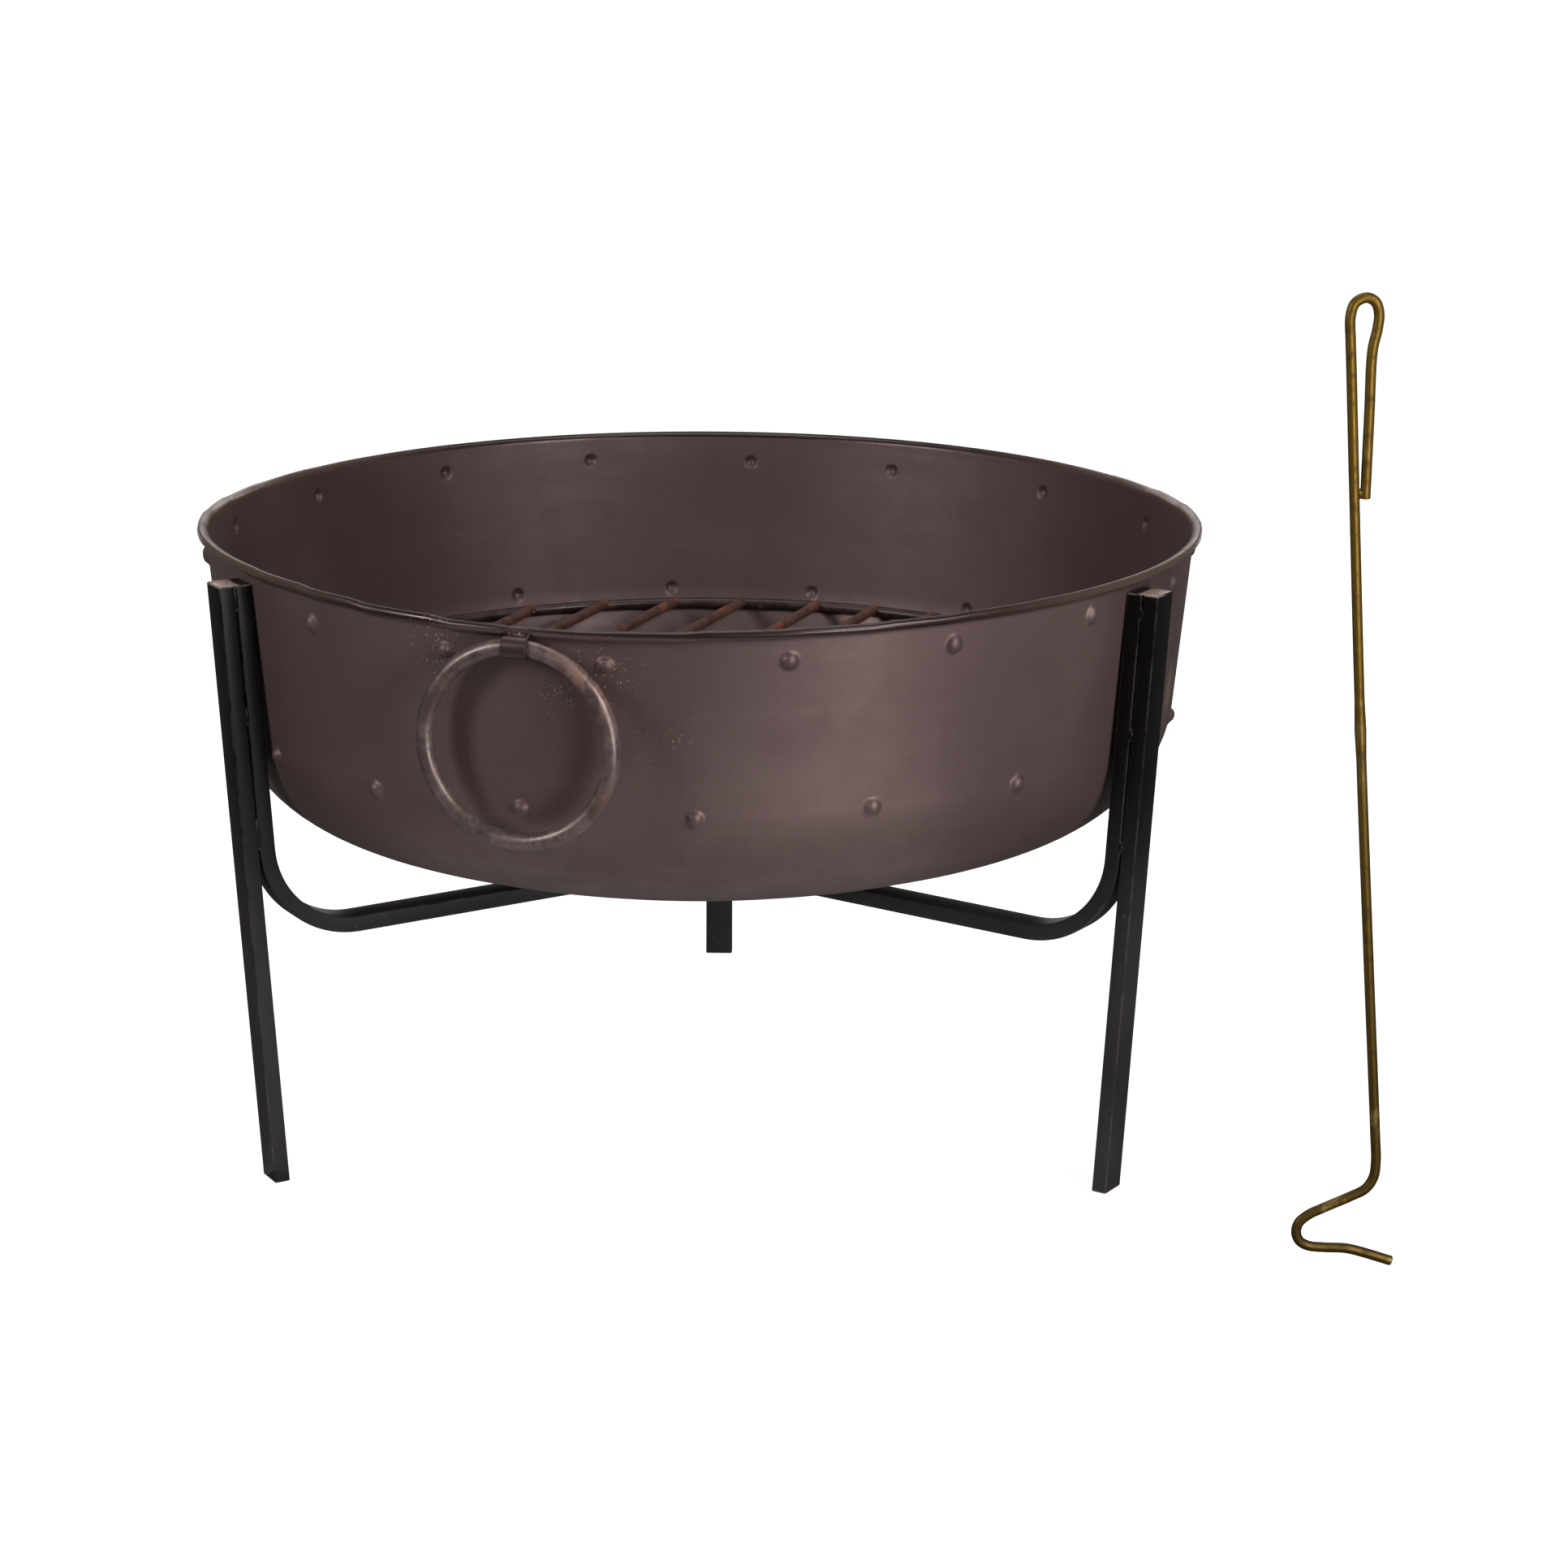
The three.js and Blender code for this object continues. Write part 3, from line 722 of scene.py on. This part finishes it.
def arm_end_radius(across, half_angle):
    """Where the arm's side stops, so that three arms meet in mitres."""
    return ARM_MITRE_GAP + abs(across) / math.tan(half_angle)


def bend_centre(depth):
    """Centre of the arm's bend (radius, height): over the arm's drooping top line, in from the leg."""
    fall = math.tan(ARM_DROOP)
    rise = ARM_TOP_Z + ARM_BEND_INNER_RADIUS / math.cos(ARM_DROOP) - leg_radius(depth, 0) * fall
    z = rise / (1 + math.tan(LEG_LEAN) * fall)
    return leg_radius(depth, z), z


def arm_shape(azimuth, half_angles):
    outer_depth = TUBE_THICKNESS + TUBE_SLIT
    bend_r, bend_z = bend_centre(outer_depth + TUBE_THICKNESS + ARM_BEND_INNER_RADIUS)
    middle_radius = ARM_BEND_INNER_RADIUS + TUBE_THICKNESS / 2
    levels = [
        (LEG_TOP_Z, TUBE_END_BEVEL),
        (LEG_TOP_Z - TUBE_END_BEVEL, 0),
        ((LEG_TOP_Z + bend_z) / 2, 0),
    ]
    rings = upright_rings(azimuth, outer_depth, levels)
    section = rounded_rectangle(TUBE_THICKNESS, TUBE_WIDTH, TUBE_CORNER)
    out, side = outward(azimuth), along(azimuth)
    for i in range(ARM_BEND_STEPS + 1):
        angle = -LEG_LEAN - (math.pi / 2 + ARM_DROOP - LEG_LEAN) * i / ARM_BEND_STEPS
        direction = out * math.cos(angle) + Vector((0, 0, math.sin(angle)))
        centre = spoke_point(azimuth, bend_r, bend_z) + direction * middle_radius
        rings.append(ring_at(section, centre, direction, side))
    end = []
    for x, y in section:
        radius = arm_end_radius(y, half_angles[0] if y >= 0 else half_angles[1])
        z = bend_z - (middle_radius + x) / math.cos(ARM_DROOP) + (bend_r - radius) * math.tan(ARM_DROOP)
        end.append(spoke_point(azimuth, radius, z) + side * y)
    rings.append(end)
    return loft(rings)


def leg_end_shape(azimuth):
    """One thin plate closing the leg's and the arm's ends, with a slightly crowned edge."""
    z = LEG_TOP_Z - LEG_END_SINK
    levels = [
        (z, LEG_END_MARGIN + LEG_END_EASE),
        (z + LEG_END_THICKNESS / 2, LEG_END_MARGIN),
        (z + LEG_END_THICKNESS, LEG_END_MARGIN + LEG_END_EASE),
    ]
    return loft(upright_rings(azimuth, 0, levels, 2 * TUBE_THICKNESS + TUBE_SLIT))


def bead_shape(centre, axes, seed, wobble=0.12):
    """A lumpy ellipsoid on three half axes, for a weld bead."""
    rings = []
    for i in range(BEAD_ROWS + 1):
        polar = math.pi * (i + BEAD_POLE_GAP) / (BEAD_ROWS + 2 * BEAD_POLE_GAP)
        ring = []
        for k in range(BEAD_SIDES):
            turn = 2 * math.pi * k / BEAD_SIDES
            flat = Vector((math.cos(turn), math.sin(turn), 0)) * math.sin(polar)
            unit = flat + Vector((0, 0, math.cos(polar)))
            sample = unit * BEAD_LUMPINESS + Vector((seed * 3.1, seed, -seed))
            lump = 1 + wobble * noise.noise(sample)
            offset = axes[0] * unit.x + axes[1] * unit.y + axes[2] * unit.z
            ring.append(centre + offset * lump)
        rings.append(ring)
    return loft(rings)


def merge(shapes):
    vertices, faces = [], []
    for some_vertices, some_faces in shapes:
        start = len(vertices)
        vertices += some_vertices
        faces += [tuple(start + i for i in face) for face in some_faces]
    return vertices, faces


def slit_welds(azimuth, places):
    """Beads that fill the slit between leg and arm on both sides."""
    shapes = []
    slit_depth = TUBE_THICKNESS + TUBE_SLIT / 2
    out, side = outward(azimuth), along(azimuth)
    up = (out * math.sin(LEG_LEAN) + Vector((0, 0, math.cos(LEG_LEAN)))).normalized()
    for number, (height, half_length) in enumerate(places):
        middle = spoke_point(azimuth, leg_radius(slit_depth, height * MM), height * MM)
        axes = (out * SLIT_WELD_HALF_DEPTH, side * SLIT_WELD_HALF_WIDTH, up * half_length * MM)
        for sign in (-1, 1):
            spot = middle + side * sign * TUBE_WIDTH * SLIT_WELD_OFFSET
            shapes.append(bead_shape(spot, axes, number * 2 + sign))
    return merge(shapes)


def turn_between(azimuth, other):
    return (other - azimuth) % 360


def build_stand():
    azimuths = [azimuth_of(centre_of(f"foot_plug_{name}")) for name in LEG_NAMES]
    for index, name in enumerate(LEG_NAMES):
        azimuth = azimuths[index]
        ahead = math.radians(turn_between(azimuth, azimuths[(index + 1) % 3]) / 2)
        behind = math.radians(turn_between(azimuths[index - 1], azimuth) / 2)
        add_piece(f"leg_{name}", leg_shape(azimuth), "stand", "stand_paint",
                  [f"leg_tube_{name}", f"foot_plug_{name}"])
        add_piece(f"arm_{name}", arm_shape(azimuth, (ahead, behind)), "stand", "stand_paint",
                  [f"arm_tube_{name}", f"arm_cap_{name}"])
        add_piece(f"leg_end_{name}", leg_end_shape(azimuth), "stand", "bare_tube_end",
                  [f"leg_cap_{name}"])
        add_piece(f"leg_welds_{name}", slit_welds(azimuth, SLIT_WELDS[name]), "stand", "stand_paint")


# ---------------------------------------------------------------- bowl

def bowl_columns():
    """Azimuths of the bowl's mesh columns, close together across each dimple and wide apart between them."""
    centres = sorted(azimuth for azimuth, _ in UPPER_DIMPLES + LOWER_DIMPLES)
    reach, step = DIMPLE_COLUMN_REACH, DIMPLE_COLUMN_STEP
    columns = []
    for here, following in zip(centres, centres[1:] + [centres[0] + 360]):
        columns += [here + offset for offset in np.arange(-reach, reach + step / 2, step)]
        start, end = here + reach, following - reach
        gaps = max(2, round((end - start) / PLAIN_COLUMN_STEP))
        columns += [start + (end - start) * i / gaps for i in range(1, gaps)]
    return np.radians(columns)


def sheet_rows(inset):
    """Profile points (radius, height) of one face of the sheet, from near the axis up to the lip."""
    centre_distance = DOME_RADIUS - CORNER_RADIUS
    dome_z = CORNER_Z + math.sqrt(centre_distance ** 2 - CORNER_R ** 2)
    edge = math.atan2(CORNER_Z - dome_z, CORNER_R)
    lean = wall_lean()
    radius = DOME_RADIUS - inset
    rows = []
    for share in np.linspace(HUB_SHARE, 1, DOME_ROWS)[:-1]:
        angle = -math.pi / 2 + (edge + math.pi / 2) * share
        rows.append((radius * math.cos(angle), dome_z + radius * math.sin(angle)))
    radius = CORNER_RADIUS - inset
    angles = [*np.linspace(edge, math.radians(CORNER_COARSE_TO), CORNER_ROWS)[:-1]]
    angles += [*np.arange(math.radians(CORNER_FINE_FROM), -lean, math.radians(CORNER_FINE_STEP))]
    rows += [(CORNER_R + radius * math.cos(a), CORNER_Z + radius * math.sin(a)) for a in angles]
    wall_start = CORNER_Z + radius * math.sin(-lean)
    lower_top = max(z for _, z in LOWER_DIMPLES) * MM + DIMPLE_ROW_REACH
    upper_bottom = min(z for _, z in UPPER_DIMPLES) * MM - DIMPLE_ROW_REACH
    heights = [*np.arange(wall_start, lower_top, DIMPLE_ROW_STEP)]
    heights += [*np.linspace(lower_top + MIDDLE_ROW_GAP, upper_bottom - MIDDLE_ROW_GAP, MIDDLE_ROWS)]
    heights += [*np.arange(upper_bottom, WALL_TOP_Z - LAST_ROW_BELOW_TOP, DIMPLE_ROW_STEP)]
    rows += [(wall_radius(z) - inset / math.cos(lean), z) for z in heights]
    return rows


def lip_rows():
    """Over the rolled lip, from the wall's outer face to its inner one."""
    bead_r = LIP_RADIUS - LIP_BEAD
    bead_z = LIP_TOP_Z - LIP_BEAD
    rows = [
        (WALL_TOP_RADIUS, WALL_TOP_Z - 1.2 * MM),
        (WALL_TOP_RADIUS + 0.35 * MM, WALL_TOP_Z - 0.3 * MM),
    ]
    for angle in np.linspace(-math.pi / 2 - 0.35, math.pi / 2 + 0.1, 15):
        rows.append((bead_r + LIP_BEAD * math.cos(angle), bead_z + LIP_BEAD * math.sin(angle)))
    shoulder_r = WALL_TOP_RADIUS - SHEET + LIP_SHOULDER
    shoulder_z = LIP_TOP_Z - LIP_SHOULDER - 0.1 * MM
    for angle in np.linspace(1.75, math.pi, 7):
        radius = shoulder_r + LIP_SHOULDER * math.cos(angle)
        rows.append((radius, shoulder_z + LIP_SHOULDER * math.sin(angle)))
    return rows


def rim_lift(azimuths):
    """How far the hand-finished rim stands above or below a flat circle, by azimuth in radians."""
    degrees = (np.degrees(azimuths) + 180) % 360 - 180
    knots, lifts = zip(*RIM_LIFT)
    return np.interp(degrees, knots, lifts) * MM


def smooth_around(values, passes):
    for _ in range(passes):
        values = (np.roll(values, 1) + 2 * values + np.roll(values, -1)) / 4
    return values


def press_dimples(x, y, z, is_inner):
    """Pushes the sheet's outer and inner faces out at each dimple. is_inner marks the inner face's rows."""
    sides = (
        (0, ~is_inner, DIMPLE_RADIUS, DIMPLE_HEIGHT),
        (SHEET, is_inner, RECESS_RADIUS, RECESS_DEPTH),
    )
    for azimuth, height_mm in UPPER_DIMPLES + LOWER_DIMPLES:
        out = outward(azimuth)
        dimple_z = height_mm * MM
        for inset, mask, radius, height in sides:
            centre = out * (wall_radius(dimple_z) - inset)
            distance = np.sqrt((x - centre.x) ** 2 + (y - centre.y) ** 2 + (z - dimple_z) ** 2) / radius
            rise = (1 - np.clip(distance, 0, 1) ** DIMPLE_FLATNESS) ** DIMPLE_STEEPNESS
            push = np.where((distance < 1) & mask[:, None], height * rise, 0)
            x = x + out.x * push
            y = y + out.y * push
    return x, y


def bowl_shape():
    columns = bowl_columns()
    outer, lip, inner = sheet_rows(0), lip_rows(), sheet_rows(SHEET)[::-1]
    profile = np.array(outer + lip + inner)
    is_inner = np.arange(len(profile)) >= len(outer) + len(lip)
    r, a = np.meshgrid(profile[:, 0], columns, indexing="ij")
    z = np.repeat(profile[:, 1:2], len(columns), axis=1)
    lift = smooth_around(rim_lift(columns), RIM_SMOOTHING_PASSES)
    near_rim = np.clip((z - RIM_LIFT_START_Z) / (WALL_TOP_Z - RIM_LIFT_START_Z), 0, 1)
    raised = lift[None, :] * near_rim
    r = r + raised * math.tan(wall_lean())
    x, y = press_dimples(r * np.sin(a), -r * np.cos(a), z, is_inner)
    rings = np.stack([x + AXIS.x, y + AXIS.y, z + raised], axis=2)
    vertices = [Vector(point) for point in rings.reshape(-1, 3)]
    count = len(columns)
    faces = []
    for i in range(len(profile) - 1):
        for k in range(count):
            n = (k + 1) % count
            faces.append((i * count + k, i * count + n, (i + 1) * count + n, (i + 1) * count + k))
    for ring, (hub_r, hub_z) in ((0, outer[0]), (len(profile) - 1, inner[-1])):
        hub = len(vertices)
        vertices.append(Vector((AXIS.x, AXIS.y, hub_z - hub_r ** 2 / (2 * DOME_RADIUS))))
        faces += [(ring * count + k, ring * count + (k + 1) % count, hub) for k in range(count)]
    return vertices, faces


def build_bowl():
    add_piece("bowl", bowl_shape(), "bowl", "bowl_steel", ["bowl_shell"], sharp_degrees=60)


# ---------------------------------------------------------------- handles

def torus_shape(centre, normal, radius, rod_radius, steps, sides):
    first = normal.orthogonal().normalized()
    second = normal.cross(first)
    points = [
        centre + (first * math.cos(t) + second * math.sin(t)) * radius
        for t in (2 * math.pi * i / steps for i in range(steps))
    ]
    return loft(planar_sweep(points, normal, circle(rod_radius, sides), closed=True), closed=True)


def sleeve_shape(pivot, azimuth):
    """A short tube around the ring's rod, eased at its ends, as a closed skin from outside to bore."""
    side, out, up = along(azimuth), outward(azimuth), Vector((0, 0, 1))
    half = SLEEVE_LENGTH / 2
    profile = [
        (-half, SLEEVE_BORE_RADIUS),
        (-half, SLEEVE_RADIUS - SLEEVE_EASE),
        (-half + SLEEVE_EASE, SLEEVE_RADIUS),
        (0, SLEEVE_RADIUS + SLEEVE_CROWN),
        (half - SLEEVE_EASE, SLEEVE_RADIUS),
        (half, SLEEVE_RADIUS - SLEEVE_EASE),
        (half, SLEEVE_BORE_RADIUS),
    ]
    rings = []
    for offset, radius in profile:
        rings.append(ring_at(circle(radius, SLEEVE_SIDES), pivot + side * offset, out, up))
    return loft(rings, closed=True)


def sleeve_weld(pivot, azimuth, seed):
    """A row of ragged beads between the sleeve's top and the underside of the lip."""
    side, out, up = along(azimuth), outward(azimuth), Vector((0, 0, 1))
    source = random.Random(seed)
    shapes = []
    for offset in SLEEVE_WELD_OFFSETS:
        rise = SLEEVE_RADIUS + source.uniform(-0.2, 0.6) * MM
        centre = pivot + side * offset * MM + up * rise - out * source.uniform(1.6, 3.2) * MM
        wide, deep, tall = source.uniform(1.4, 2.2), source.uniform(1.3, 2.2), source.uniform(1.6, 2.6)
        axes = (side * wide * MM, out * deep * MM, up * tall * MM)
        shapes.append(bead_shape(centre, axes, seed + offset, wobble=0.5))
    return merge(shapes)


def sleeve_edge(pivot, azimuth):
    """A thin rusty edge round the front of the sleeve's end, running up to the lip."""
    side, out, up = along(azimuth), outward(azimuth), Vector((0, 0, 1))
    end = pivot + side * (SLEEVE_LENGTH / 2)
    turns = [math.radians(degrees) for degrees in range(-70, 81, 10)]
    points = [end + (out * math.cos(t) + up * math.sin(t)) * (SLEEVE_RADIUS + 0.1 * MM) for t in turns]
    points.append(end + up * (SLEEVE_RADIUS + 2.4 * MM) - out * 0.8 * MM)
    return loft(planar_sweep(points, side, circle(RUST_EDGE_RADIUS, 8)))


def build_handles():
    for number, name in enumerate(HANDLE_NAMES):
        pivot = Vector(JOINTS[f"handle_{name}_swing"]["pos_m"])
        azimuth = azimuth_of(pivot)
        centre = pivot + Vector((0, 0, HANDLE_RISE - HANDLE_RING_RADIUS))
        ring = torus_shape(centre, outward(azimuth), HANDLE_RING_RADIUS, HANDLE_ROD_RADIUS,
                           HANDLE_STEPS, HANDLE_SIDES)
        add_piece(f"ring_{name}", ring, f"handle_{name}", "handle_steel", [f"handle_ring_{name}"])
        sleeve = sleeve_shape(pivot, azimuth)
        add_piece(f"sleeve_{name}", sleeve, "bowl", "bowl_steel", [f"handle_sleeve_{name}"])
        weld = sleeve_weld(pivot, azimuth, SLEEVE_WELD_SEED + number)
        add_piece(f"sleeve_weld_{name}", weld, "bowl", "bowl_steel")
        add_piece(f"sleeve_edge_{name}", sleeve_edge(pivot, azimuth), "bowl", "grate_ring_steel")


# ---------------------------------------------------------------- grate

def build_grate():
    centre = AXIS + Vector((0, 0, GRATE_Z))
    direction, across, up = outward(GRATE_BAR_AZIMUTH), along(GRATE_BAR_AZIMUTH), Vector((0, 0, 1))
    ring = torus_shape(centre, up, GRATE_RING_RADIUS, GRATE_ROD_RADIUS, GRATE_RING_STEPS, GRATE_RING_SIDES)
    add_piece("grate_hoop", ring, "grate", "grate_ring_steel", ["grate_ring"])
    welds = []
    for number, offset in enumerate(GRATE_BAR_OFFSETS, start=1):
        half = math.sqrt((GRATE_RING_RADIUS + GRATE_BAR_OVERLAP) ** 2 - (offset * MM) ** 2)
        middle = centre + across * offset * MM + up * GRATE_BAR_RISE
        points = [middle + direction * half * share for share in np.linspace(-1, 1, GRATE_BAR_POINTS)]
        rings = planar_sweep(points, up, circle(GRATE_BAR_RADIUS, GRATE_BAR_SIDES))
        rings = round_ends(rings, points, GRATE_BAR_EASE)
        add_piece(f"bar_{number:02d}", loft(rings), "grate", "rusty_bar", [f"grate_bar_{number:02d}"])
        axes = (across * 5.0 * MM, direction * 3.0 * MM, up * 3.4 * MM)
        for sign in (-1, 1):
            spot = middle + direction * (half - GRATE_WELD_INSET) * sign - up * GRATE_WELD_DROP
            welds.append(bead_shape(spot, axes, number * 2 + sign, wobble=0.35))
    add_piece("grate_welds", merge(welds), "grate", "grate_ring_steel")


# ---------------------------------------------------------------- poker

def smooth_path(points, steps):
    """Centripetal Catmull-Rom curve through points."""
    ends = [points[0] * 2 - points[1], *points, points[-1] * 2 - points[-2]]
    path = []
    for p0, p1, p2, p3 in zip(ends, ends[1:], ends[2:], ends[3:]):
        t1 = (p1 - p0).length ** 0.5
        t2 = t1 + (p2 - p1).length ** 0.5
        t3 = t2 + (p3 - p2).length ** 0.5
        for i in range(steps):
            t = t1 + (t2 - t1) * i / steps
            a1 = p0 * ((t1 - t) / t1) + p1 * (t / t1)
            a2 = p1 * ((t2 - t) / (t2 - t1)) + p2 * ((t - t1) / (t2 - t1))
            a3 = p2 * ((t3 - t) / (t3 - t2)) + p3 * ((t - t2) / (t3 - t2))
            b1 = a1 * ((t2 - t) / t2) + a2 * (t / t2)
            b2 = a2 * ((t3 - t) / (t3 - t1)) + a3 * ((t - t1) / (t3 - t1))
            path.append(b1 * ((t2 - t) / (t2 - t1)) + b2 * ((t - t1) / (t2 - t1)))
    return [*path, points[-1]]


def build_poker():
    low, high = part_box("poker_rod")
    turn = Matrix.Rotation(math.radians(POKER_TURN), 3, "Z")
    xs = [x for x, _ in POKER_OUTLINE]
    outline_middle = (max(xs) + min(xs)) / 2 * MM
    origin = Vector(((low.x + high.x) / 2, (low.y + high.y) / 2, 0))
    points = [origin + turn @ Vector((x * MM - outline_middle, 0, z * MM)) for x, z in POKER_OUTLINE]
    path = smooth_path(points, POKER_STEPS)
    normal = turn @ Vector((0, 1, 0))
    from_kink = [(point.z - POKER_KINK_Z) / POKER_KINK_LENGTH for point in path]
    scales = [1 + POKER_KINK_SWELL * math.exp(-distance ** 2) for distance in from_kink]
    rings = planar_sweep(path, normal, circle(POKER_ROD_RADIUS, POKER_SIDES), scales=scales)
    rings = round_ends(rings, path, POKER_EASE)
    add_piece("poker", loft(rings), "poker", "poker_finish", ["poker_rod"])
    weld_x, weld_z = POKER_WELD
    spot = origin + turn @ Vector((weld_x * MM - outline_middle, 0, weld_z * MM))
    axes = (turn @ Vector((3.0 * MM, 0, 0)), normal * 2.7 * MM, Vector((0, 0, 3.4 * MM)))
    add_piece("poker_weld", bead_shape(spot, axes, 3, wobble=0.3), "poker", "poker_finish")


# ---------------------------------------------------------------- studio

def build_camera():
    data = bpy.data.cameras.new("camera")
    data.lens = CAMERA_LENS
    data.sensor_width = SENSOR_WIDTH
    camera = bpy.data.objects.new("camera", data)
    place = AXIS + outward(CAMERA_AZIMUTH) * CAMERA_DISTANCE + Vector((0, 0, CAMERA_HEIGHT))
    heading = Matrix.Rotation(math.radians(CAMERA_HEADING), 4, "Z")
    pitch = Matrix.Rotation(math.radians(90 - CAMERA_PITCH), 4, "X")
    roll = Matrix.Rotation(math.radians(CAMERA_ROLL), 4, "Z")
    camera.matrix_world = Matrix.Translation(place) @ heading @ pitch @ roll
    bpy.context.scene.collection.objects.link(camera)
    bpy.context.scene.camera = camera


def add_softbox(name, azimuth, elevation, distance, size, power):
    """An area light round the bowl, turned to face it and hidden from the camera."""
    data = bpy.data.lights.new(name, "AREA")
    data.shape = "RECTANGLE"
    data.size, data.size_y = size
    data.energy = power
    light = bpy.data.objects.new(name, data)
    target = AXIS + Vector((0, 0, SOFTBOX_TARGET_Z))
    level = distance * math.cos(math.radians(elevation))
    rise = distance * math.sin(math.radians(elevation))
    light.location = target + outward(azimuth) * level + Vector((0, 0, rise))
    light.rotation_euler = (target - light.location).to_track_quat("-Z", "Y").to_euler()
    light.visible_camera = False
    bpy.context.scene.collection.objects.link(light)


def build_world():
    """Dim surroundings that light the object softly, but look white where the floor ends."""
    world = bpy.data.worlds.new("studio")
    world.use_nodes = True
    tree = world.node_tree
    background = tree.nodes["Background"]
    background.inputs["Color"].default_value = (1, 1, 1, 1)
    seen = tree.nodes.new("ShaderNodeLightPath").outputs["Is Camera Ray"]
    strength = tree.nodes.new("ShaderNodeMapRange")
    strength.inputs["To Min"].default_value = WORLD_STRENGTH
    strength.inputs["To Max"].default_value = 1.0
    tree.links.new(seen, strength.inputs["Value"])
    tree.links.new(strength.outputs[0], background.inputs["Strength"])
    bpy.context.scene.world = world


def build_studio():
    bpy.ops.mesh.primitive_plane_add(size=FLOOR_SIZE)
    floor = bpy.context.object
    floor.name = "floor"
    floor.data.materials.append(floor_paper())
    floor.visible_diffuse = False
    floor.visible_glossy = False
    bpy.context.scene.view_settings.view_transform = "Standard"
    for softbox in SOFTBOXES:
        add_softbox(*softbox)


build_camera()
build_stand()
build_bowl()
build_handles()
build_grate()
build_poker()
build_world()
build_studio()
